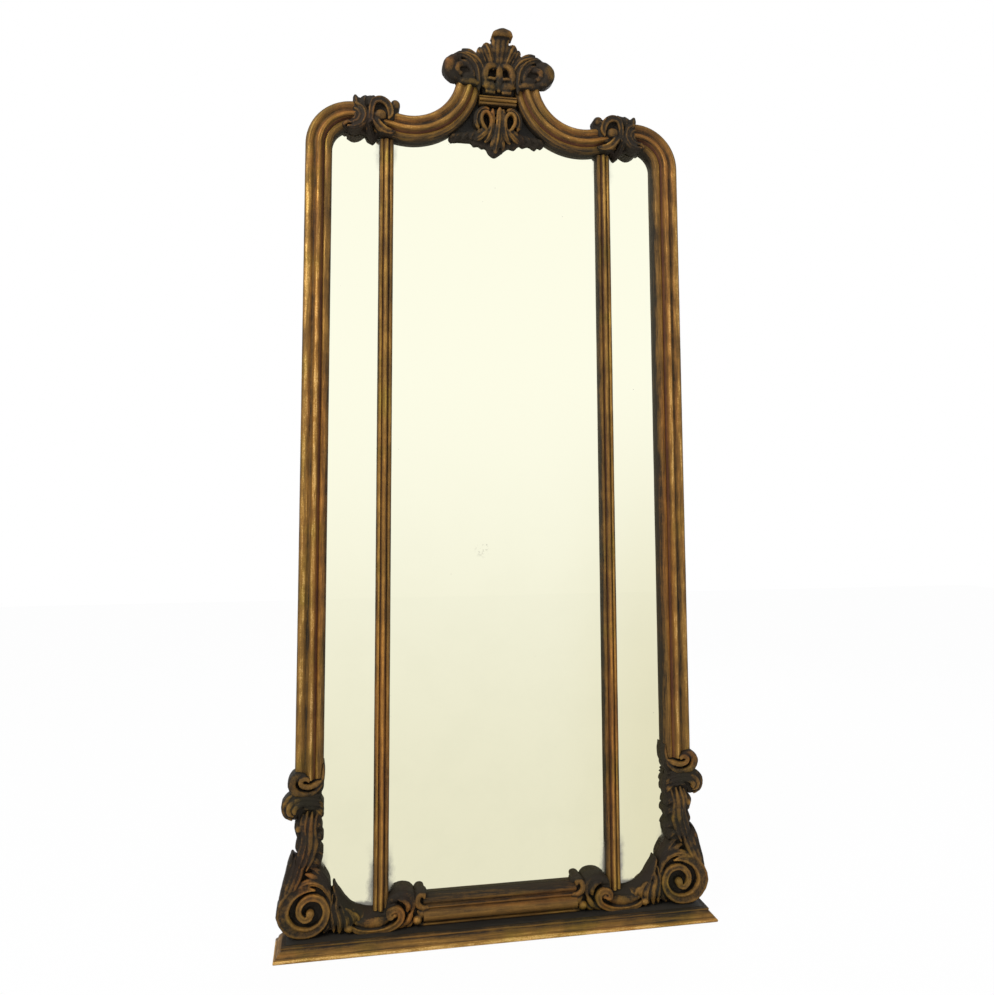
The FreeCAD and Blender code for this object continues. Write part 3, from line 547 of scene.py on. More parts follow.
# sections of a cut, as (part of the half width, part of the width below the crest or None for the ground)
ROUND = [(-1, None), (-1, 0.42), (-0.82, 0.17), (-0.45, 0.04), (0, 0), (0.45, 0.04), (0.82, 0.17), (1, 0.42),
         (1, None)]
GOUGE = [(-1, None), (-1, 0.20), (-0.84, 0.02), (-0.66, 0.0), (-0.36, 0.13), (0, 0.20), (0.36, 0.13),
         (0.66, 0.0), (0.84, 0.02), (1, 0.20), (1, None)]
VEIN = [(-1, None), (-1, 0.34), (-0.75, 0.20), (-0.40, 0.24), (-0.14, 0.03), (0, 0), (0.14, 0.03),
        (0.40, 0.24), (0.75, 0.20), (1, 0.34), (1, None)]
BAND = [(-1, None), (-1, 0.16), (-0.86, 0.02), (-0.66, 0.0), (-0.4, 0.08), (0.3, 0.12), (0.62, 0.02),
        (0.84, 0.0), (1, 0.16), (1, None)]
COVE = [(-1, None), (-1, 0.04), (-0.84, 0.0), (-0.6, 0.02), (-0.3, 0.12), (0, 0.26), (0.3, 0.44), (0.6, 0.64),
        (0.85, 0.84), (1, 0.94), (1, None)]
LOBE = [(-1, None), (-1, 0.36), (-0.9, 0.22), (-0.68, 0.11), (-0.36, 0.03), (0, 0), (0.36, 0.03),
        (0.68, 0.11), (0.9, 0.22), (1, 0.36), (1, None)]


def add_island(count):
    """A new filled ring in edit mode, left selected."""
    bpy.ops.mesh.select_all(action="DESELECT")
    bpy.ops.mesh.primitive_circle_add(vertices=count, radius=MM, fill_type="NGON")


def empty_piece(name):
    """A new mesh object with nothing in it, in edit mode."""
    clear_bench()
    bpy.ops.mesh.primitive_circle_add(vertices=3, radius=MM, fill_type="NOTHING")
    piece = bpy.context.object
    piece.name = piece.data.name = name
    bpy.ops.object.mode_set(mode="EDIT")
    bpy.ops.mesh.delete(type="VERT")
    return piece


def picked(me):
    """The mesh in edit mode, and the layer that holds its vertices' corner numbers."""
    bm = bmesh.from_edit_mesh(me)
    layer = bm.verts.layers.int.get("corner") or bm.verts.layers.int.new("corner")
    return bm, layer


def number_island(me):
    """Numbers the selected ring's corners round its face."""
    bm, layer = picked(me)
    face = next(f for f in bm.faces if f.select)
    for i, loop in enumerate(face.loops):
        loop.vert[layer] = i
    bmesh.update_edit_mesh(me)


def set_ring(me, places):
    """Puts the selected ring's corners at their places."""
    bm, layer = picked(me)
    for vert in bm.verts:
        if vert.select:
            vert.co = places[vert[layer]]
    bmesh.update_edit_mesh(me)


def loft(me, rings):
    """One closed island in edit mode: a ring, extruded on through the others."""
    add_island(len(rings[0]))
    number_island(me)
    set_ring(me, rings[0])
    for ring in rings[1:]:
        bpy.ops.mesh.extrude_region_move()
        set_ring(me, ring)


SHORT_PATH = 6      # a path with fewer points gets more rings to each span
BLUNT = 0.12        # how blunt a tip is: the square of its least part of the width


def cut_rings(path, widths, crests, low, section, tips):
    """The rings of one carved cut along a path of (x, y) points.

    widths and crests are read evenly along it, and tips are the parts of it that taper, at its
    start and its end.
    """
    course = smooth_path([(x, y, 0) for x, y in path], 5 if len(path) < SHORT_PATH else 3)
    last = len(course) - 1
    rings = []
    for i, here in enumerate(course):
        t = i / last
        ahead = course[min(i + 1, last)] - course[max(i - 1, 0)]
        ahead.normalize()
        side = Vector((-ahead.y, ahead.x, 0))
        width = graded(widths, t)
        for end, reach in ((t, tips[0]), (1 - t, tips[1])):
            if reach and end < reach:
                width *= math.sqrt(max(BLUNT, 1 - (1 - end / reach) ** 2))
        crest = graded(crests, t)
        ring = []
        for s, drop in section:
            z = low if drop is None else max(low + 0.5, crest - drop * width)
            spot = here + side * (s * width / 2)
            ring.append(Vector((spot.x, spot.y, z)) * MM)
        rings.append(ring)
    return rings


PILLOW = ((0.0, 1.0), (0.10, 0.55), (0.38, 0.16), (0.8, 0.0))    # a ground's edge: (inset, depth)
DOME = ((1.0, 1.0), (0.93, 0.62), (0.76, 0.3), (0.5, 0.1), (0.2, 0.0))   # a button: (reach, depth)
DOME_RISE = 0.88                                                # a button's rise, in radii


class Carving:
    """One ornament on the bench.  Grounds, buttons and cuts are added to it, then it is carved."""

    def __init__(self, name, low):
        self.piece = empty_piece(name)
        self.me = self.piece.data
        self.low = low
        self.tints = []                 # (x, y, reach, how much more gold) spots: partly the gilding's own tone, partly painted light and shade

    def ground(self, outline, high, pillow, low=None):
        """A ground whose edge is rounded like a pillow's, from a smooth closed outline."""
        edge = smooth_path([(x, y, 0) for x, y in outline + outline[:1]], 5)[:-1]
        turn = sum(edge[i - 1].x * p.y - p.x * edge[i - 1].y for i, p in enumerate(edge))
        sides = []
        for i, p in enumerate(edge):
            way = edge[(i + 1) % len(edge)] - edge[i - 1]
            sides.append(Vector((-way.y, way.x, 0)).normalized() * math.copysign(1.0, turn))
        steps = [(0.0, self.low if low is None else low)]
        steps += [(inset, high - depth * pillow) for inset, depth in PILLOW]
        loft(self.me, [[(p + side * inset * pillow + Vector((0, 0, z))) * MM for p, side in zip(edge, sides)]
                       for inset, z in steps])

    def button(self, centre, radius, high, squash=1.0, sides=24):
        """A domed button."""
        steps = [(1.0, self.low)] + [(reach, high - depth * DOME_RISE * radius) for reach, depth in DOME]
        rings = []
        for reach, z in steps:
            rings.append([Vector((centre[0] + radius * reach * math.cos(2 * math.pi * i / sides),
                                  centre[1] + squash * radius * reach * math.sin(2 * math.pi * i / sides),
                                  z)) * MM for i in range(sides)])
        loft(self.me, rings)

    def cut(self, path, widths, crests, section, tips, low=None):
        loft(self.me, cut_rings(path, widths, crests, self.low if low is None else low, section, tips))

    def pair(self, path, widths, crests, section, tips, low=None):
        """The same cut on both sides of the middle."""
        self.cut(path, widths, crests, section, tips, low)
        self.cut([(-x, y) for x, y in path], widths, crests, section, tips, low)

    def strands(self, cuts, tips, broad=ROUND, over=0.0, low=None, paired=False):
        """Many cuts, as (path, widths, crests).  Those wider than over are broad, and the others round."""
        draw = self.pair if paired else self.cut
        for path, widths, crests in cuts:
            draw(path, widths, crests, broad if widths[1] > over else ROUND, tips, low)

    def carve(self):
        """Makes one skin of everything, as if cut from one block, and softens it."""
        bpy.ops.mesh.select_all(action="SELECT")
        bpy.ops.mesh.normals_make_consistent(inside=False)
        bpy.ops.object.mode_set(mode="OBJECT")
        skin = self.piece.modifiers.new("skin", "REMESH")
        skin.mode = "VOXEL"
        skin.voxel_size = carving().grain
        bpy.ops.object.modifier_apply(modifier=skin.name)
        soft = self.piece.modifiers.new("soft", "SMOOTH")
        soft.factor = 0.5
        soft.iterations = 2
        bpy.ops.object.modifier_apply(modifier=soft.name)
        return self.piece


def other_hand(piece, name):
    """The mirror image of a piece, with its own mesh."""
    take(piece)
    bpy.ops.object.duplicate(linked=False)
    twin = bpy.context.object
    twin.name = name
    twin.data.name = name
    bpy.ops.object.mode_set(mode="EDIT")
    bpy.ops.mesh.select_all(action="SELECT")
    bpy.ops.transform.resize(value=(-1, 1, 1), center_override=(0, 0, 0))
    bpy.ops.mesh.flip_normals()
    bpy.ops.object.mode_set(mode="OBJECT")
    return twin


def wandering(piece, amount, size):
    """Moves the surface a little, as hand tools leave it."""
    take(piece)
    name = "wander_%d" % round(size / MM)
    cloud = bpy.data.textures.get(name) or bpy.data.textures.new(name, "CLOUDS")
    cloud.noise_scale = size
    cloud.noise_depth = 2
    shift = piece.modifiers.new("wander", "DISPLACE")
    shift.texture = cloud
    shift.texture_coords = "LOCAL"
    shift.strength = amount
    shift.mid_level = 0.5
    bpy.ops.object.modifier_apply(modifier=shift.name)


def points_of(me):
    co = np.empty(len(me.vertices) * 3)
    me.vertices.foreach_get("co", co)
    return co.reshape(-1, 3)


def write_value(me, name, values, kind="FLOAT"):
    layer = me.attributes.get(name) or me.attributes.new(name, kind, "POINT")
    key = "value" if kind == "FLOAT" else "vector"
    layer.data.foreach_set(key, np.asarray(values, dtype=np.float32).ravel())


RELIEF_CELL = 1.5                                   # size of a cell of the height map
RELIEF_MARGIN = 16                                  # empty cells round it
RELIEF_LOOKS = ((2, 3.0, 0.55), (7, 11.0, 0.5))     # (reach in cells, span of height, weight)


def blurred(field, reach):
    """The mean over a square of the given reach, taken twice."""
    width = 2 * reach + 1
    for axis in range(2):
        for again in range(2):
            total = np.cumsum(np.insert(field, 0, 0, axis=0), axis=0)
            field = np.pad((total[width:] - total[:-width]) / width, ((reach, reach), (0, 0)), mode="edge")
        field = field.T
    return field


def mark_relief(piece, tints):
    """Writes how far each point stands above its surroundings, from 0 in the hollows to 1 on the ridges.

    The spots of gold and of painted light and shade then move it, up to 1.5, within their reach and on both
    sides of the middle.
    """
    me = piece.data
    co = points_of(me) / MM
    ij = np.floor((co[:, :2] - co[:, :2].min(axis=0)) / RELIEF_CELL).astype(int) + RELIEF_MARGIN
    top = np.full(ij.max(axis=0) + RELIEF_MARGIN + 1, -1.0)
    np.maximum.at(top, (ij[:, 0], ij[:, 1]), co[:, 2])
    known = (top > 0).astype(float)
    filled = np.where(known > 0, top, np.percentile(co[:, 2], 5))
    value = 0.5
    for reach, span, weight in RELIEF_LOOKS:
        level = blurred(filled * known, reach) / np.maximum(blurred(known, reach), 0.05)
        value = value + weight * ((co[:, 2] - level[ij[:, 0], ij[:, 1]]) / span)
    value = np.clip(value, 0, 1)
    # painted light and shade, with the gilding's own brighter and darker spots, move the relief here
    for x, y, reach, amount in tints:
        away = np.hypot(np.abs(co[:, 0]) - abs(x), co[:, 1] - y) / reach
        value += amount * np.clip(1.0 - away * away, 0, 1)
    write_value(me, "relief", np.clip(value, 0, 1.5))


def hang_up(piece, material, node, crease=None):
    """Stands a bench piece in its place on the frame, and gives it its finish."""
    take(piece)
    stand = Matrix.Translation((0, WALL_BACK * MM, LINE_LIFT * MM)) @ Matrix.Rotation(math.pi / 2, 4, "X")
    piece.data.transform(stand)
    piece.data.materials.clear()
    piece.data.materials.append(STOCK[material])
    if crease is None:
        bpy.ops.object.shade_smooth()
    else:
        bpy.ops.object.shade_smooth_by_angle(angle=math.radians(crease))
    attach(piece, "frame")
    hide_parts(node)


def finish_carving(piece, tints, material, node):
    wandering(piece, carving().wander, CARVING_CLOUD)
    mark_relief(piece, tints)
    hang_up(piece, material, node)


def finish_moulding(piece, material, node, share=1.0, cloud=MOULDING_CLOUD):
    """Finishes a moulding, with its share of the settings' wander in clouds of the given size."""
    wandering(piece, share * carving().straightness, cloud)
    hang_up(piece, material, node, crease=MOULDING_CREASE)


def carve_pair(shape, base, material):
    """Both hands of a carved ornament that stands for left_ and right_ CAD nodes."""
    shape.piece.name = "left_" + base + "_carved"
    shape.carve()
    twin = other_hand(shape.piece, "right_" + base + "_carved")
    for side, piece in (("left_", shape.piece), ("right_", twin)):
        finish_carving(piece, shape.tints, material, side + base)


def mould_pair(base, section, course, width, material, start=0.0):
    """Both hands of a moulding that stands for left_ and right_ CAD nodes."""
    piece = swept("left_%s_moulded" % base, section, course, width, start)
    twin = other_hand(piece, "right_%s_moulded" % base)
    for side, each in (("left_", piece), ("right_", twin)):
        finish_moulding(each, material, side + base)


def coil(centre, turns):
    """Points at given (degrees, radius) round a centre."""
    return [(centre[0] + r * math.cos(math.radians(a)), centre[1] + r * math.sin(math.radians(a)))
            for a, r in turns]


# ------------------------------------------------------------------ mouldings
def arc_points(a, m, b, count):
    """count points on the circle through a, m and b, from a to b."""
    ax, ay, mx, my, bx, by = *a, *m, *b
    d = 2 * (ax * (my - by) + mx * (by - ay) + bx * (ay - my))
    aa, mm, bb = ax ** 2 + ay ** 2, mx ** 2 + my ** 2, bx ** 2 + by ** 2
    ux = (aa * (my - by) + mm * (by - ay) + bb * (ay - my)) / d
    uy = (aa * (bx - mx) + mm * (ax - bx) + bb * (mx - ax)) / d
    r = math.hypot(ax - ux, ay - uy)
    t0, tm, t1 = (math.atan2(y - uy, x - ux) for x, y in (a, m, b))
    while tm < t0:
        tm += 2 * math.pi
    while t1 < t0:
        t1 += 2 * math.pi
    if tm > t1:
        t1 -= 2 * math.pi
    turns = [t0 + (t1 - t0) * i / (count - 1) for i in range(count)]
    return [(ux + r * math.cos(t), uy + r * math.sin(t)) for t in turns]


def moulding_section():
    """The frame moulding: (out from the sight edge, height above the wall)."""
    return ([(12, 0.5), (59, 0.5), (61.6, 44)] + arc_points((61.4, 47), (54, 60.3), (44.4, 56.8), 9)
            + arc_points((43.2, 56.0), (40.0, 55.2), (37.4, 56.6), 5)
            + arc_points((36.0, 58.3), (30.4, 63.4), (24.0, 59.0), 8)
            + arc_points((23.0, 56.6), (20.6, 51.8), (18.8, 49.4), 4)
            + arc_points((17.8, 50.4), (10, 52.6), (1, 43.4), 8)
            + [(0.3, 41), (0.2, PLATE_FACE + 0.3), (12, PLATE_FACE + 0.3)])


def bar_section():
    """A glazing bar, from edge to edge.  It has no tongue, because the plates hide it."""
    left = ([(0.3, PLATE_FACE + 0.2), (0.2, 38.6)] + arc_points((0.6, 40), (5, 43.4), (9.4, 41.4), 6)
            + [(10.2, 40.2), (10.9, 40.8)] + arc_points((11.4, 42.4), (17, 47.9), (22.6, 42.4), 9))
    return left + [(BAR_WIDTH - u, v) for u, v in reversed(left[:-9])]


def base_section():
    """The moulded bottom rail, from its sight edge down to the plinth."""
    return ([(62, PLATE_FACE + 0.4), (62, 47)] + arc_points((61.6, 49), (59, 51.4), (55.6, 49), 5)
            + [(54.4, 45.5), (53, 45.6)] + arc_points((52, 47), (42, 62.5), (28.4, 56), 9)
            + [(26.6, 51), (25, 50)] + arc_points((24, 52), (21.4, 54.6), (18.6, 52), 5)
            + [(17.6, 47.4), (16.6, 47)] + arc_points((15.6, 48.4), (9, 51.8), (1, 43.4), 7)
            + [(0.3, 41), (0.2, PLATE_FACE + 0.4)])


class Course:
    """A run of a moulding on the bench: straight stretches and turns of its sight edge."""

    def __init__(self):
        self.stations = []              # (point on the sight edge, outward direction, run)
        self.run = 0.0

    def extend(self, steps, length, station):
        """Goes on for a length.  station(i) gives the point and the outward direction of step i."""
        for i in range(1 if self.stations else 0, steps + 1):
            self.stations.append((*station(i), self.run + length * i / steps))
        self.run += length
        return self

    def straight(self, start, end, out, steps):
        a, b, way = Vector(start), Vector(end), Vector(out)
        return self.extend(steps, (b - a).length, lambda i: (a.lerp(b, i / steps), way))

    def turn(self, centre, radius, begin, finish_at, steps, inward=False):
        """A turn of the sight edge about a centre.  The moulding lies outside it, or inside if inward."""
        def station(i):
            t = math.radians(begin + (finish_at - begin) * i / steps)
            ray = Vector((math.cos(t), math.sin(t)))
            return Vector(centre) + ray * radius, -ray if inward else ray
        return self.extend(steps, radius * abs(math.radians(finish_at - begin)), station)


FRAME_RELIEF, PLINTH_RELIEF = (50.0, 90.0), (10.0, 60.0)    # (height of middling relief, its span)
COURSE_SCALE = 0.05          # the run's share in the streaks' place, so that they lie along it


def moulded(name, section, rings, runs, width, relief=FRAME_RELIEF):
    """A moulding swept through rings of bench points, with its surface marks written on it."""
    piece = empty_piece(name)
    loft(piece.data, rings)
    bpy.ops.mesh.select_all(action="SELECT")
    bpy.ops.mesh.normals_make_consistent(inside=False)
    bm, layer = picked(piece.data)
    corner = np.array([v[layer] for v in bm.verts])
    bpy.ops.object.mode_set(mode="OBJECT")
    me = piece.data
    # the first ring's points come first, and each extrusion adds one ring after it
    ring_of = np.minimum(np.arange(len(me.vertices)) // len(section), len(runs) - 1)
    run = np.array(runs)[ring_of]
    u = np.array([p[0] for p in section])[corner]
    v = np.array([p[1] for p in section])[corner]
    write_value(me, "across", u / width)
    write_value(me, "course", np.stack([u * MM, v * MM, run * MM * COURSE_SCALE], axis=1), "FLOAT_VECTOR")
    write_value(me, "relief", np.clip(0.5 + (v - relief[0]) / relief[1], 0.0, 1.0))
    return piece


def swept(name, section, course, width, start=0.0):
    """A moulding along a course on the bench."""
    rings = [[Vector((p.x + out.x * u, p.y + out.y * u, v)) * MM for u, v in section]
             for p, out, run in course.stations]
    return moulded(name, section, rings, [run + start for p, out, run in course.stations], width)


def crest_bar_section():
    """The crest's little bar, from its lower edge up."""
    return ([(0, PLATE_FACE + 0.3), (0, 48)] + arc_points((0.4, 50), (4, 52.6), (7.4, 50), 5)
            + [(8.2, 48.6)] + arc_points((8.8, 51), (12.4, 56.4), (16, 52), 6)
            + [(16.6, 49.4)] + arc_points((17.2, 52), (19.8, 54.6), (21.8, 52), 5)
            + [(22, PLATE_FACE + 0.3)])


def nosing_section():
    """The plinth's edge moulding: (out from the board, up from the floor)."""
    return ([(0.3, 0.2), (21, 0.2)] + arc_points((23.4, 0.8), (25.7, 4.6), (22.6, 8.6), 8)
            + [(20.4, 9.2), (19.8, 10)] + arc_points((19.2, 11.6), (17.8, 14.4), (14.2, 16.6), 6)
            + arc_points((12.6, 17.8), (10.6, 19.6), (9.7, 22), 4) + [(9.5, 22.6), (9.9, 23.4)]
            + arc_points((10.0, 24), (10.6, 25.8), (9.6, 27.7), 4) + [(0.3, 27.7)])


def plinth_edge(name, stations, spot):
    """A length of the plinth's edge moulding: (t, run) stations, and where its points stand at t."""
    section = nosing_section()
    rings = [[Vector(spot(t, out, up)) * MM for out, up in section] for t, run in stations]
    # its marks run up its face, so its section is read as (height, out)
    return moulded(name, [(up, out) for out, up in section], rings, [run for t, run in stations],
                   PLINTH_HEIGHT, PLINTH_RELIEF)


def plinth_front():
    """The front edge moulding, mitred at both ends."""
    return plinth_edge("plinth_nosing_moulded", [(i / 20 - 1, (i / 20 - 1) * PLINTH_HALF) for i in range(41)],
                       lambda t, out, up: (t * (PLINTH_HALF + out), up - LINE_LIFT, PLINTH_DEPTH + out))


def plinth_end(side, hand):
    """One end's edge moulding, mitred to the front one."""
    return plinth_edge(side + "_plinth_return_moulded",
                       [(i / 6, 900 + i / 6 * PLINTH_DEPTH) for i in range(7)],
                       lambda t, out, up: (hand * (PLINTH_HALF + out), up - LINE_LIFT,
                                           t * (PLINTH_DEPTH + out) + 0.2 * (1 - t)))


def frame_course(part):
    """The sight edge's course for one part of the left half, on the bench."""
    if part == "stile":
        return Course().straight((-SIGHT, STILE_FOOT), (-SIGHT, SPRING), (-1, 0), 64)
    if part == "shoulder":
        corner, top = -SIGHT + SHOULDER_TURN, SPRING + SHOULDER_TURN
        return (Course().turn((corner, SPRING), SHOULDER_TURN, 180, 90, 20)
                .straight((corner, top), (HIP_X, top), (0, 1), 4))
    lean = math.radians(SCROLL_LEAN)
    inward = Vector((-math.sin(lean), -math.cos(lean)))
    edge = Vector(SCROLL_CENTRE) + inward * SCROLL_TURN
    far = edge + Vector((-math.cos(lean), math.sin(lean))) * ((edge.x - HIP_X) / math.cos(lean))
    return (Course().straight(far, edge, -inward, 4)
            .turn(SCROLL_CENTRE, SCROLL_TURN, -105, -4, 42, inward=True))


# ------------------------------------------------------------------ ornaments
def corner_volute():
    w = Carving("corner_volute", PLATE_FACE - 6)
    w.ground([(-456, 186), (-465, 192), (-469, 178), (-474, 158), (-483, 126), (-491, 92), (-488, 54),
              (-470, 26), (-440, 19.5), (-400, 19.5), (-380, 40), (-375, 78), (-384, 118), (-400, 156),
              (-432, 170)], 44, 5)
    centre = (-425, 69)
    w.cut(coil(centre, [(74, 47), (104, 52), (140, 56), (180, 57), (222, 48), (270, 39), (315, 37),
          (360, 37), (405, 36), (450, 32), (495, 27), (540, 22), (590, 16), (640, 9), (680, 4)]),
          (8, 18, 25, 28, 26, 21, 18, 16, 15, 14, 13, 12, 12, 11, 8),
          (56, 61, 64, 65, 64, 62, 61, 61, 62, 63, 64, 65), BAND, (0.1, 0.0))
    w.button((centre[0] + 2, centre[1] - 1), carving().eye / MM * 0.75, 66)
    w.strands([
        ([(-462, 192), (-468, 168), (-477, 134), (-488, 100)], (7, 11, 9, 5), (50, 60, 61, 58)),
        ([(-455, 186), (-461, 158), (-471, 130), (-481, 104)], (6, 9, 9, 5), (52, 63, 64, 60)),
        ([(-448, 180), (-454, 152), (-464, 126), (-474, 108)], (7, 10, 9, 5), (54, 64, 65, 61)),
        ([(-439, 174), (-446, 148), (-456, 127), (-465, 112)], (7, 10, 10, 5), (54, 63, 64, 60)),
        ([(-462, 113), (-446, 127), (-422, 133), (-398, 124), (-383, 101), (-377, 72)],
         (6, 12, 15, 14, 10, 5), (58, 61, 62, 60, 57, 52)),
        ([(-424, 162), (-405, 149), (-390, 128), (-380, 106)], (8, 15, 14, 7), (50, 58, 57, 50)),
        ([(-436, 150), (-418, 145), (-398, 135), (-385, 118)], (6, 11, 10, 5), (54, 61, 58, 52)),
        ([(-394, 23), (-385, 36), (-380, 58), (-380, 80)], (9, 12, 11, 5), (52, 56, 55, 50)),
    ], (0.12, 0.2), VEIN, 11)
    # spots that brighten or darken the gilding: partly its own tone, partly painted light and shade
    w.tints = [(-412, 121, 20, 0.35), (-478, 70, 26, 0.12), (-392, 72, 18, 0.18), (-440, 30, 24, 0.15),
               (-430, 72, 22, 0.12), (-450, 172, 40, -0.3), (-392, 140, 30, -0.3)]
    return w


def corner_leaf():
    w = Carving("corner_leaf", PLATE_FACE - 6)
    w.ground([(-382, 104), (-372, 106), (-362, 88), (-352, 72), (-338, 58), (-320, 47), (-314, 38),
              (-328, 19.5), (-368, 19.5), (-377, 60)], 45, 6)
    w.cut([(-372, 121), (-371, 112), (-361, 94), (-350, 77), (-334, 63), (-306, 53)],
          (5, 8, 14, 18, 20, 22), (44, 48, 52, 53, 52, 51), COVE, (0.0, 0.0))
    w.strands([
        ([(-372, 24), (-374, 50), (-379, 76), (-375, 102)], (8, 12, 9, 5), (56, 61, 57, 50)),
        ([(-360, 22), (-359, 46), (-367, 72), (-366, 92)], (9, 13, 11, 6), (58, 64, 60, 53)),
        ([(-347, 24), (-344, 44), (-351, 62), (-358, 80)], (9, 14, 11, 6), (58, 62, 58, 54)),
        ([(-334, 36), (-330, 48), (-337, 60), (-348, 72)], (8, 12, 10, 6), (55, 59, 56, 54)),
        ([(-322, 38), (-319, 46), (-324, 54), (-335, 62)], (6, 9, 8, 5), (52, 55, 54, 52)),
    ], (0.15, 0.25), VEIN, 11.5)
    w.button((-339, 29), 8.5, 63, squash=0.9)
    # spots that brighten or darken the gilding: partly its own tone, partly painted light and shade
    w.tints = [(-339, 29, 11, 0.35), (-345, 92, 34, -0.4)]
    return w


def base_scroll():
    w = Carving("base_scroll", PLATE_FACE - 6)
    w.ground([(-330, 19.5), (-326, 48), (-308, 46), (-290, 44), (-272, 50), (-256, 76), (-247, 90),
              (-229, 98), (-211, 92), (-201, 78), (-197, 56), (-201, 19.5)], 43, 6)
    # the dark cove that goes under the bar, and the smooth panel over the lip
    w.cut([(-334, 63), (-310, 54), (-288, 51), (-266, 52), (-250, 58)], (20, 22, 22, 21, 14),
          (52, 51, 50, 49, 48), COVE, (0.0, 0.0))
    w.cut([(-328, 40), (-302, 35), (-276, 35), (-252, 43)], (12, 24, 25, 12), (55, 58, 59, 56), LOBE,
          (0.1, 0.1))
    w.cut([(-336, 33), (-324, 24), (-302, 19), (-272, 19), (-246, 25), (-229, 38), (-226, 55), (-238, 65),
          (-252, 60), (-253, 50), (-244, 46)], (8, 10, 10, 11, 13, 15, 14, 13, 11, 9),
          (58, 61, 62, 63, 65, 67, 68, 68, 68), BAND, (0.1, 0.1))
    w.button((-241, 52), 6, 66)
    # the hood behind the scroll
    w.strands([
        ([(-202, 50), (-200, 72), (-209, 86), (-228, 88), (-245, 80), (-256, 64)], (13, 19, 22, 22, 20, 12),
         (55, 59, 60, 60, 57, 50)),
        ([(-213, 54), (-211, 68), (-220, 80), (-234, 82)], (8, 11, 11, 7), (58, 64, 64, 60)),
        ([(-202, 52), (-210, 36), (-224, 26), (-240, 21)], (10, 13, 11, 7), (56, 60, 58, 54)),
        ([(-199, 33), (-206, 25), (-217, 21)], (8, 9, 6), (52, 55, 52)),
    ], (0.15, 0.2), LOBE, 15)
    # spots that brighten or darken the gilding: partly its own tone, partly painted light and shade
    w.tints = [(-235, 55, 20, 0.15), (-300, 24, 30, 0.15), (-270, 22, 26, 0.15), (-226, 90, 30, -0.3),
               (-300, 58, 26, -0.5), (-268, 57, 20, -0.45), (-286, 36, 20, 0.2), (-324, 52, 16, -0.35)]
    return w


def rail_ear():
    w = Carving("rail_ear", PLATE_FACE - 6)
    w.ground([(-164, 19.5), (-192, 19.5), (-200, 26), (-200, 50), (-195, 76), (-187, 89), (-175, 89),
              (-166, 80)], 44, 5)
    w.cut([(-164, 57), (-177, 58), (-188, 65), (-191, 77), (-185, 87), (-177, 87), (-175, 79)],
          (9, 11, 13, 14, 13, 11, 8), (55, 58, 60, 60, 60, 59), ROUND, (0.0, 0.15))
    w.cut([(-164, 43), (-178, 45), (-190, 52)], (17, 16, 9), (58, 58, 52), LOBE, (0.0, 0.2))
    w.button((-190, 33), 11.5, 61, squash=0.85, sides=8)
    w.cut([(-164, 23), (-180, 22), (-198, 23)], (7, 7, 6), (50, 52, 50), ROUND, (0.0, 0.2))
    # spots that brighten the gilding: partly its own tone, partly painted highlight
    w.tints = [(-190, 33, 15, 0.22), (-178, 46, 14, 0.2), (-184, 86, 10, 0.15)]
    return w


def leaf_drop():
    w = Carving("leaf_drop", PLATE_FACE - 4)
    w.ground([(-462, 336), (-460, 352), (-440, 350), (-404, 350), (-397, 330), (-404, 312), (-397, 292),
              (-399, 270), (-405, 240), (-398, 222), (-404, 204), (-397, 184), (-408, 160), (-450, 158),
              (-452, 196), (-452, 250), (-459, 300)], 50, 6)
    # the collar's roll, and its edge that runs up the sight bead
    w.cut([(-436, 361), (-455, 361), (-466, 346), (-461, 329), (-443, 320), (-422, 321), (-404, 336),
          (-399, 356), (-398.5, 380)], (9, 16, 18, 17, 13, 11, 9, 8, 6),
          (66, 70, 71, 69, 65, 62, 58, 56, 53), ROUND, (0.1, 0.15))
    w.cut([(-402, 346), (-414, 340), (-430, 336), (-445, 341), (-446, 352), (-434, 355), (-429, 348)],
          (9, 12, 12, 11, 11, 10, 8), (60, 66, 69, 71, 72, 72), ROUND, (0.15, 0.1))
    # long wavy blades that fall to the volute
    w.strands([
        ([(-440, 278), (-443, 254), (-440, 228), (-446, 196), (-455, 164)], (7, 12, 9, 12, 6),
         (56, 63, 60, 62, 56)),
        ([(-431, 284), (-436, 252), (-433, 222), (-439, 192), (-450, 160)], (7, 13, 10, 13, 7),
         (58, 67, 63, 66, 58)),
        ([(-421, 282), (-425, 250), (-424, 218), (-431, 186), (-443, 158)], (6, 12, 12, 10, 7),
         (58, 66, 68, 64, 60)),
        ([(-411, 276), (-417, 246), (-414, 214), (-421, 184), (-433, 156)], (6, 10, 13, 11, 7),
         (54, 62, 64, 62, 57)),
        ([(-449, 268), (-453, 252), (-450, 234), (-445, 222)], (8, 13, 11, 5), (52, 60, 58, 50)),
        ([(-448, 230), (-452, 208), (-449, 192)], (7, 10, 5), (52, 57, 50)),
        # the lobes on the glass side
        ([(-424, 300), (-408, 296), (-398, 287)], (9, 14, 11), (56, 59, 53)),
        ([(-420, 288), (-406, 279), (-399, 266)], (9, 14, 10), (54, 58, 50)),
        ([(-426, 258), (-410, 250), (-400, 238)], (9, 13, 9), (54, 58, 50)),
        ([(-424, 236), (-408, 228), (-398, 218)], (9, 15, 12), (54, 60, 52)),
        ([(-426, 206), (-412, 198), (-397, 188)], (9, 14, 12), (54, 59, 51)),
        ([(-430, 186), (-414, 177), (-402, 162)], (8, 14, 9), (54, 59, 50)),
    ], (0.12, 0.2), VEIN, 12)
    w.button((-450, 247), 7.0, 64)
    # spots that brighten or darken the gilding: partly its own tone, partly painted light and shade
    w.tints = [(-450, 247, 10, 0.25), (-458, 345, 18, 0.05), (-430, 300, 34, -0.4), (-402, 360, 16, 0.2),
               (-430, 180, 34, -0.2)]
    return w


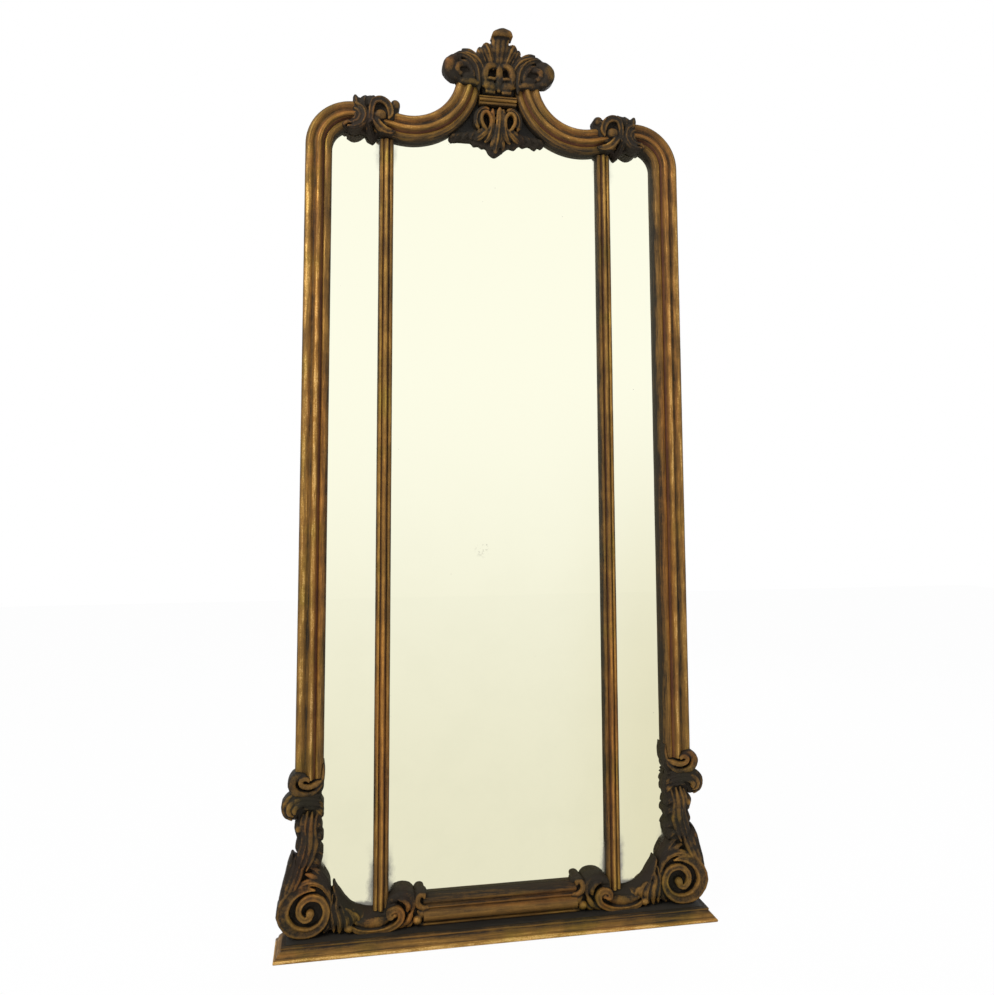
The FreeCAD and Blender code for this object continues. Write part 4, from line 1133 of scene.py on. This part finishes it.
def side_curl():
    w = Carving("side_curl", PLATE_FACE + 2)
    w.ground([(-403, 290), (-404, 314), (-430, 322), (-462, 322), (-482, 306), (-485, 288), (-472, 268),
              (-456, 264), (-450, 276), (-428, 284)], 52, 5)
    w.strands([
        ([(-402, 312), (-432, 320), (-462, 318), (-480, 302), (-479, 280), (-464, 266)],
         (8, 12, 14, 14, 12, 8), (56, 61, 64, 65, 63, 60)),
        ([(-402, 303), (-430, 311), (-456, 309), (-470, 297), (-470, 283), (-461, 275)],
         (7, 11, 12, 12, 10, 7), (60, 67, 71, 72, 70, 64)),
        ([(-403, 294), (-428, 301), (-447, 301), (-459, 292), (-458, 281)], (8, 11, 11, 11, 8),
         (60, 67, 72, 75, 72)),
        ([(-408, 286), (-426, 291), (-441, 291)], (7, 10, 7), (56, 62, 65)),
    ], (0.08, 0.15))
    # spots that brighten or darken the gilding: partly its own tone, partly painted light and shade
    w.tints = [(-478, 292, 16, 0.12), (-418, 300, 40, -0.6), (-445, 312, 26, -0.3)]
    return w


def hip_leaf():
    w = Carving("hip_leaf", PLATE_FACE + 0.6)
    w.ground([(-352, 1896), (-350, 1912), (-341, 1915), (-330, 1914), (-314, 1921), (-298, 1920),
              (-284, 1911), (-270, 1895), (-256, 1904), (-243, 1900), (-243, 1884), (-256, 1860),
              (-272, 1846), (-296, 1846), (-320, 1846), (-342, 1848), (-352, 1866)], 62, 10)
    w.ground([(-366, 1850), (-370, 1841), (-356, 1834), (-342, 1837), (-328, 1833), (-316, 1826),
              (-304, 1813), (-293, 1824), (-283, 1836), (-272, 1842), (-276, 1860), (-340, 1862)], 44, 8)
    shell = (-352, 1866)
    w.strands([(coil(shell, [(angle, reach) for angle in (80, 40, 0, -40, -80, -115)]),
                (0.6 * wide, wide, wide, wide, 0.9 * wide, 0.6 * wide),
                (crest - 3, crest, crest + 1, crest, crest - 6))
               for reach, crest, wide in ((30, 73, 15), (18, 69, 10), (8, 65, 8))], (0.15, 0.15), VEIN, 12)
    w.cut([(-322, 1846), (-310, 1858), (-308, 1882), (-302, 1900), (-286, 1905), (-270, 1896), (-263, 1876),
          (-268, 1860)], (8, 12, 13, 15, 17, 17, 15, 8), (66, 72, 75, 77, 77, 75, 73, 70), BAND,
          (0.12, 0.15))
    w.button((-287, 1869), 15, 78, squash=0.85)
    w.cut([(-303, 1868), (-296, 1852), (-283, 1838), (-266, 1832), (-250, 1836)], (10, 17, 19, 16, 8),
          (70, 74, 72, 68, 60), GOUGE, (0.1, 0.2))
    w.button((-252, 1899), 12, 70)
    w.strands([
        ([(-336, 1886), (-343, 1902), (-347, 1918)], (11, 15, 12), (66, 68, 62)),
        ([(-324, 1886), (-325, 1904), (-321, 1918)], (13, 19, 14), (68, 71, 62)),
        ([(-312, 1892), (-308, 1906), (-301, 1918)], (12, 17, 13), (68, 71, 64)),
        ([(-268, 1878), (-260, 1892), (-252, 1900)], (12, 17, 13), (66, 71, 70)),
        ([(-318, 1862), (-314, 1844), (-309, 1830), (-304, 1817)], (10, 16, 18, 12), (70, 66, 56, 44)),
        ([(-298, 1854), (-294, 1844), (-289, 1836)], (10, 13, 10), (66, 56, 46)),
        ([(-330, 1856), (-333, 1846), (-331, 1838)], (13, 17, 12), (64, 55, 46)),
        ([(-346, 1856), (-350, 1846), (-350, 1839)], (12, 15, 11), (60, 54, 46)),
        ([(-350, 1851), (-363, 1851), (-371, 1845), (-368, 1838)], (8, 10, 10, 7), (62, 62, 60, 56)),
    ], (0.12, 0.24), VEIN, 14.5)
    # spots that brighten or darken the gilding: partly its own tone, partly painted light and shade
    w.tints = [(-287, 1869, 15, -0.1), (-276, 1840, 20, 0.35), (-368, 1845, 12, 0.25),
               (-314, 1828, 40, -0.5), (-318, 1912, 30, -0.4), (-350, 1836, 22, -0.35),
               (-288, 1900, 24, -0.15)]
    return w


def crest_volute():
    w = Carving("crest_volute", 16)
    w.ground([(-58, 1992), (-70, 1984), (-90, 1984), (-104, 1994), (-108, 2008), (-98, 2020), (-78, 2024),
              (-58, 2012)], 52, 8)
    w.ground([(-58, 1990), (-84, 1975), (-106, 1977), (-120, 1987), (-127, 2002), (-124, 2016),
              (-110, 2028), (-88, 2034), (-64, 2026), (-52, 2010)], 60, 12, low=38)
    w.cut([(-49, 1954), (-49, 1984), (-54, 2010), (-68, 2030), (-90, 2040), (-113, 2038)],
          (9, 13, 16, 18, 17, 9), (60, 68, 71, 74, 73, 64), VEIN, (0.1, 0.1), low=36)
    w.cut([(-62, 1976), (-66, 2000), (-79, 2017), (-99, 2024)], (9, 12, 13, 9), (64, 70, 71, 69), ROUND,
          (0.1, 0.2), low=38)
    # the roll itself, fat at its outer side
    w.cut([(-94, 2028), (-111, 2025), (-122, 2011), (-123, 1997), (-112, 1984), (-95, 1981)],
          (14, 24, 31, 31, 26, 16), (68, 77, 82, 81, 75, 66), LOBE, (0.15, 0.15), low=46)
    w.cut([(-82, 2011), (-93, 2013), (-103, 2007), (-105, 1998), (-99, 1991), (-90, 1991)],
          (10, 13, 15, 15, 13, 9), (66, 73, 78, 78, 74, 70), ROUND, (0.1, 0.1), low=46)
    # the leaf that clasps the rail's end
    w.strands([
        ([(-50, 1970), (-66, 1974), (-84, 1975), (-106, 1977)], (12, 17, 18, 12), (67, 70, 69, 62)),
        ([(-60, 1988), (-76, 1988), (-92, 1988)], (14, 17, 12), (67, 69, 66)),
    ], (0.1, 0.15), LOBE, low=38)
    # spots that brighten or darken the gilding: partly its own tone, partly painted light and shade
    w.tints = [(-128, 2004, 16, 0.1), (-82, 2000, 22, -0.5), (-104, 2038, 24, -0.35),
               (-112, 1986, 18, -0.3), (-80, 1976, 22, -0.15)]
    return w


def crest_palmette():
    w = Carving("crest_palmette_carved", PLATE_FACE - 4)
    w.ground([(-38, 1952), (38, 1952), (43, 1985), (52, 2016), (88, 2038), (66, 2050), (48, 2058),
              (36, 2072), (20, 2088), (2, 2092), (-18, 2086), (-34, 2072), (-48, 2058), (-66, 2050),
              (-88, 2038), (-52, 2016), (-43, 1985)], 46, 5)
    # flutes that rise to the hood
    for x, wide, crest in ((-14, 12, 86), (-5, 13, 90), (6, 13, 90), (16, 12, 87)):
        w.cut([(0.55 * x, 2012), (0.8 * x, 2034), (0.95 * x, 2056), (x + 1, 2082)], (8, 11, wide, wide),
              (60, 0.80 * crest, 0.92 * crest, crest), ROUND, (0.1, 0.0))
    w.strands([
        ([(12, 2010), (21, 2032), (29, 2052), (37, 2067)], (9, 16, 24, 25), (60, 74, 83, 80)),
        ([(25, 2010), (36, 2032), (44, 2048), (50, 2060)], (8, 14, 18, 15), (58, 70, 76, 70)),
        ([(32, 1990), (41, 2014), (56, 2032), (78, 2041), (96, 2044)], (9, 17, 22, 21, 16),
         (60, 70, 75, 74, 67)),
        ([(38, 2016), (52, 2036), (72, 2047), (92, 2053)], (7, 11, 15, 12), (58, 68, 71, 65)),
        ([(38, 1966), (42, 1992), (50, 2010), (66, 2022)], (12, 16, 14, 8), (60, 65, 63, 54)),
    ], (0.12, 0.12), VEIN, 12.5, paired=True)
    # broad cheeks that leave only two drop-shaped hollows, with a small shadow under each
    for path, widths, crests, section in (
            ([(2, 2018), (15, 2020), (28, 2014), (34, 1998), (33, 1980)], (12, 13, 15, 16, 14),
             (64, 69, 71, 70, 66), ROUND),
            ([(5, 1990), (12, 1985), (21, 1986), (29, 1984)], (7, 8, 8, 7), (64, 68, 68, 66), ROUND),
            ([(4, 1967), (16, 1968), (28, 1971), (34, 1980)], (18, 23, 21, 14), (62, 67, 67, 65), LOBE),
            ([(8, 1955), (20, 1954), (32, 1957)], (9, 11, 9), (60, 63, 60), ROUND)):
        w.pair(path, widths, crests, section, (0.12, 0.2))
    w.cut([(1, 1955), (1, 1976), (2, 1998), (2, 2022)], (13, 17, 17, 13), (60, 67, 69, 66), ROUND,
          (0.1, 0.1))
    # the hood itself, a shell with its peak a little to one side
    w.cut([(-22, 2079), (-13, 2085), (4, 2088), (19, 2086), (29, 2079)], (8, 15, 21, 17, 9),
          (93, 99, 102, 100, 94), LOBE, (0.3, 0.3), low=64)
    w.cut([(-8, 2084), (6, 2089), (18, 2084)], (10, 19, 10), (96, 101, 96), LOBE, (0.2, 0.2), low=64)
    # spots that brighten or darken the gilding: partly its own tone, partly painted light and shade
    w.tints = [(3, 2092, 20, -0.15), (0, 1992, 34, -0.22), (18, 1999, 12, -0.5), (60, 2030, 18, 0.05),
               (24, 2036, 16, 0.15), (40, 2062, 14, -0.3), (90, 2050, 16, -0.3)]
    return w


def pendant_palmette():
    w = Carving("pendant_palmette_carved", PLATE_FACE + 0.4)
    w.ground([(-30, 1920), (30, 1920), (50, 1900), (54, 1874), (64, 1854), (98, 1846), (120, 1841),
              (112, 1830), (104, 1833), (96, 1826), (80, 1834), (66, 1830), (56, 1834), (44, 1823),
              (30, 1825), (20, 1819), (8, 1808), (-6, 1800), (-20, 1808), (-28, 1821), (-38, 1821),
              (-46, 1826), (-58, 1825), (-66, 1833), (-84, 1834), (-96, 1838), (-108, 1833), (-114, 1830),
              (-120, 1841), (-98, 1847), (-64, 1856), (-54, 1874), (-50, 1900)], 36, 4)
    w.cut([(4, 1918), (3, 1884), (0, 1846), (-6, 1806)], (13, 17, 21, 18), (58, 63, 58, 46), VEIN,
          (0.1, 0.25))
    w.strands([
        ([(13, 1914), (15, 1882), (20, 1852), (32, 1832)], (9, 12, 17, 13), (56, 61, 56, 44)),
        # the drop-shaped rim of each hollow, and the broad leaf outside it
        ([(20, 1868), (18, 1886), (24, 1900), (33, 1903), (41, 1894), (41, 1878), (33, 1864), (26, 1858)],
         (5, 7, 8, 8, 8, 8, 8, 6), (58, 62, 63, 63, 63, 62, 60, 58)),
        ([(22, 1913), (38, 1911), (50, 1898), (53, 1879), (48, 1862)], (10, 15, 17, 15, 9),
         (56, 58, 58, 57, 54)),
        ([(22, 1864), (34, 1852), (46, 1843), (58, 1838)], (9, 14, 15, 12), (56, 57, 52, 43)),
        ([(36, 1862), (46, 1854), (58, 1849)], (9, 12, 8), (54, 54, 46)),
        ([(6, 1848), (12, 1830), (14, 1815)], (9, 12, 9), (54, 50, 42)),
        ([(54, 1858), (62, 1849), (67, 1838)], (9, 14, 12), (46, 48, 42)),
        ([(68, 1855), (80, 1847), (86, 1837)], (9, 14, 12), (44, 46, 41)),
        ([(84, 1851), (98, 1846), (104, 1836)], (9, 13, 11), (43, 45, 41)),
        ([(98, 1849), (109, 1845), (116, 1839)], (8, 11, 8), (42, 44, 40)),
    ], (0.12, 0.2), VEIN, 11.5, paired=True)
    # spots that brighten or darken the gilding: partly its own tone, partly painted light and shade
    w.tints = [(84, 1846, 44, -0.5), (30, 1882, 9, -0.6), (4, 1880, 18, 0.2), (20, 1850, 14, 0.2),
               (0, 1812, 22, -0.4), (52, 1884, 12, -0.1)]
    return w


# ------------------------------------------------------------------ the stage
# the camera fitted to the photograph
CAMERA_PLACE, CAMERA_DEGREES = (-0.3887, -1.9686, 0.9583), (95.0911, 0.1778, -10.4883)
CAMERA_SHIFT = (0.00746, -0.0687)
FOCAL_PIXELS, PICTURE_PIXELS, FILM_HEIGHT = 850.0, 995.0, 36.0
LAMPS = (("window", (-2.4, -2.0, 3.2), 1.6, 78.0), ("fill", (2.6, -2.6, 1.6), 2.2, 12.0),
         ("back_window", (1.5, 2.4, 2.6), 2.0, 35.0))       # (name, place, size, watts)
LAMPS_AIM = Vector((0, 0, 1.0))
FLOOR_GLOW = 0.965                                          # how much of the floor the camera sees as white
ROOM_STRENGTH = 0.55


def pale_floor():
    clear_bench()
    bpy.ops.mesh.primitive_plane_add(size=14.0, location=(0, 0, 0))
    floor = bpy.context.object
    floor.name = "floor"
    made, sheet, surface = new_material("pale_floor")
    sheet.fill(surface, Base_Color=(0.93, 0.93, 0.93), Roughness=0.9)
    glow = sheet.fill(sheet.node("ShaderNodeEmission"), Color=(1, 1, 1))
    share = sheet.times(sheet.seen_by("Camera", "Glossy"), FLOOR_GLOW)
    end = next(n for n in sheet.tree.nodes if n.type == "OUTPUT_MATERIAL")
    sheet.join(sheet.blend(share, surface.outputs[0], glow.outputs[0]), end.inputs[0])
    floor.data.materials.append(made)


def white_room():
    scene = bpy.context.scene
    scene.world = scene.world or bpy.data.worlds.new("studio")
    scene.world.use_nodes = True
    scene.world.node_tree.nodes.clear()
    sheet = Sheet(scene.world.node_tree)
    room = sheet.fill(sheet.node("ShaderNodeBackground"), Color=(0.95, 0.97, 1.0), Strength=ROOM_STRENGTH)
    white = sheet.fill(sheet.node("ShaderNodeBackground"), Color=(1, 1, 1), Strength=1.0)
    seen = sheet.seen_by("Camera", "Glossy", "Transmission")
    sheet.join(sheet.blend(seen, room.outputs[0], white.outputs[0]),
               sheet.node("ShaderNodeOutputWorld").inputs[0])


def hang_lamps():
    for name, spot, size, watts in LAMPS:
        bpy.ops.object.light_add(type="AREA", location=spot)
        lamp = bpy.context.object
        lamp.name = name
        lamp.data.size = size
        lamp.data.energy = watts
        lamp.rotation_euler = (LAMPS_AIM - Vector(spot)).to_track_quat("-Z", "Y").to_euler()


def photo_camera():
    bpy.ops.object.camera_add(location=CAMERA_PLACE, rotation=[math.radians(a) for a in CAMERA_DEGREES])
    camera = bpy.context.object
    camera.name = "photo_camera"
    camera.data.sensor_fit = "VERTICAL"
    camera.data.sensor_height = FILM_HEIGHT
    camera.data.lens = FOCAL_PIXELS * FILM_HEIGHT / PICTURE_PIXELS
    camera.data.shift_x, camera.data.shift_y = CAMERA_SHIFT
    bpy.context.scene.camera = camera


# ------------------------------------------------------------------ operators
# the finish of each bare CAD node: the first word found in its name decides
PLAIN_FINISHES = (("plinth_board", "dark"), ("crest_ground", "dark"), ("base_rail", "batten"),
                  ("crest_brace", "back"), ("backboard", "back"), ("batten_screws", "steel"),
                  ("batten", "batten"), ("screws", "steel"), ("hanger", "steel"), ("mirror_plate", "mirror"))


class TRUMEAU_OT_finishes(bpy.types.Operator):
    """Mixes the gilding, the woods, the zinc and the silvering, and finishes the frame's plain parts"""
    bl_idname = "trumeau.finishes"
    bl_label = "Finishes"
    bl_options = {"REGISTER", "UNDO"}

    def execute(self, context):
        STOCK.update(make_materials())
        for name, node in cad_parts.items():
            kind = next((choice for word, choice in PLAIN_FINISHES if word in name), "carving")
            node.data.materials.clear()
            node.data.materials.append(STOCK[kind])
        return {"FINISHED"}


class TRUMEAU_OT_mouldings(bpy.types.Operator):
    """Sweeps the frame's mouldings, both hands of each"""
    bl_idname = "trumeau.mouldings"
    bl_label = "Frame mouldings"
    bl_options = {"REGISTER", "UNDO"}

    def execute(self, context):
        for part, start in FRAME_PARTS:
            mould_pair(part, moulding_section(), frame_course(part), MOULDING_WIDTH, "moulding", start)
        return {"FINISHED"}


class TRUMEAU_OT_bars(bpy.types.Operator):
    """Sweeps the two glazing bars"""
    bl_idname = "trumeau.bars"
    bl_label = "Glazing bars"
    bl_options = {"REGISTER", "UNDO"}

    def execute(self, context):
        edge = -BAR_X - BAR_WIDTH / 2
        course = Course().straight((edge, BAR_FOOT), (edge, BAR_HEAD), (1, 0), 70)
        mould_pair("glazing_bar", bar_section(), course, BAR_WIDTH, "bar")
        return {"FINISHED"}


class TRUMEAU_OT_base(bpy.types.Operator):
    """Sweeps the bottom rail, the crest's bar and the plinth's edge moulding"""
    bl_idname = "trumeau.base"
    bl_label = "Bottom rail and plinth"
    bl_options = {"REGISTER", "UNDO"}

    def execute(self, context):
        top = RAIL_FLOOR + MOULDING_WIDTH
        course = Course().straight((-RAIL_HALF, top), (RAIL_HALF, top), (0, -1), 24)
        rail = swept("bottom_rail_moulded", base_section(), course, MOULDING_WIDTH)
        finish_moulding(rail, "base", "bottom_rail")
        course = Course().straight((-CREST_BAR_HALF, CREST_BAR_Y), (CREST_BAR_HALF, CREST_BAR_Y), (0, 1), 10)
        bar = swept("crest_bar_moulded", crest_bar_section(), course, CREST_BAR_WIDTH)
        finish_moulding(bar, "crest_bar", "crest_bar", share=0.5, cloud=CREST_BAR_CLOUD)
        for piece, node in ((plinth_front(), "plinth_nosing"), (plinth_end("left", -1), "left_plinth_return"),
                            (plinth_end("right", 1), "right_plinth_return")):
            finish_moulding(piece, "plinth", node, share=0.6)
        return {"FINISHED"}


class TRUMEAU_OT_corners(bpy.types.Operator):
    """Carves the corner volutes, their leaves, the base scrolls and the rail's ears"""
    bl_idname = "trumeau.corners"
    bl_label = "Lower corners"
    bl_options = {"REGISTER", "UNDO"}

    def execute(self, context):
        for draw in (corner_volute, corner_leaf, base_scroll, rail_ear):
            carve_pair(draw(), draw.__name__, "carving")
        return {"FINISHED"}


class TRUMEAU_OT_drops(bpy.types.Operator):
    """Carves the leaf drops and the curls on the stiles' feet"""
    bl_idname = "trumeau.drops"
    bl_label = "Leaf drops"
    bl_options = {"REGISTER", "UNDO"}

    def execute(self, context):
        carve_pair(leaf_drop(), "leaf_drop", "carving")
        carve_pair(side_curl(), "side_curl", "carving")
        return {"FINISHED"}


class TRUMEAU_OT_hips(bpy.types.Operator):
    """Carves the leaves over the shoulders' joints"""
    bl_idname = "trumeau.hips"
    bl_label = "Hip leaves"
    bl_options = {"REGISTER", "UNDO"}

    def execute(self, context):
        carve_pair(hip_leaf(), "hip_leaf", "carving")
        return {"FINISHED"}


class TRUMEAU_OT_crest(bpy.types.Operator):
    """Carves the crest's volutes and palmettes"""
    bl_idname = "trumeau.crest"
    bl_label = "Crest"
    bl_options = {"REGISTER", "UNDO"}

    def execute(self, context):
        carve_pair(crest_volute(), "crest_volute", "crest")
        for shape, node in ((crest_palmette, "crest_palmette"), (pendant_palmette, "pendant_palmette")):
            drawn = shape()
            finish_carving(drawn.carve(), drawn.tints, "crest", node)
        return {"FINISHED"}


class TRUMEAU_OT_stage(bpy.types.Operator):
    """Sets the floor, the soft lights, the backdrop and the camera"""
    bl_idname = "trumeau.stage"
    bl_label = "Stage"
    bl_options = {"REGISTER", "UNDO"}

    def execute(self, context):
        pale_floor()
        white_room()
        hang_lamps()
        photo_camera()
        context.scene.view_settings.view_transform = "Standard"
        return {"FINISHED"}


OPERATORS = (TRUMEAU_OT_finishes, TRUMEAU_OT_mouldings, TRUMEAU_OT_bars, TRUMEAU_OT_base, TRUMEAU_OT_corners,
             TRUMEAU_OT_drops, TRUMEAU_OT_hips, TRUMEAU_OT_crest, TRUMEAU_OT_stage)


class TRUMEAU_PT_workshop(bpy.types.Panel):
    """The workshop's list of jobs"""
    bl_idname = "TRUMEAU_PT_workshop"
    bl_label = "Trumeau mirror"
    bl_space_type = "VIEW_3D"
    bl_region_type = "UI"
    bl_category = "Trumeau"

    def draw(self, context):
        layout = self.layout
        for group in (context.scene.trumeau_carving, context.scene.trumeau_finish):
            box = layout.box()
            for key in group.bl_rna.properties.keys():
                if key not in ("rna_type", "name"):
                    box.prop(group, key)
        for job in OPERATORS:
            layout.operator(job.bl_idname)


CLASSES = (TrumeauCarving, TrumeauFinish, *OPERATORS, TRUMEAU_PT_workshop)


def register():
    for each in CLASSES:
        bpy.utils.register_class(each)
    bpy.types.Scene.trumeau_carving = bpy.props.PointerProperty(type=TrumeauCarving)
    bpy.types.Scene.trumeau_finish = bpy.props.PointerProperty(type=TrumeauFinish)


def unregister():
    del bpy.types.Scene.trumeau_finish
    del bpy.types.Scene.trumeau_carving
    for each in reversed(CLASSES):
        bpy.utils.unregister_class(each)


def main():
    register()
    for job in OPERATORS:
        group, name = job.bl_idname.split(".")
        getattr(getattr(bpy.ops, group), name)()
    clear_bench()


if __name__ == "__main__":
    main()
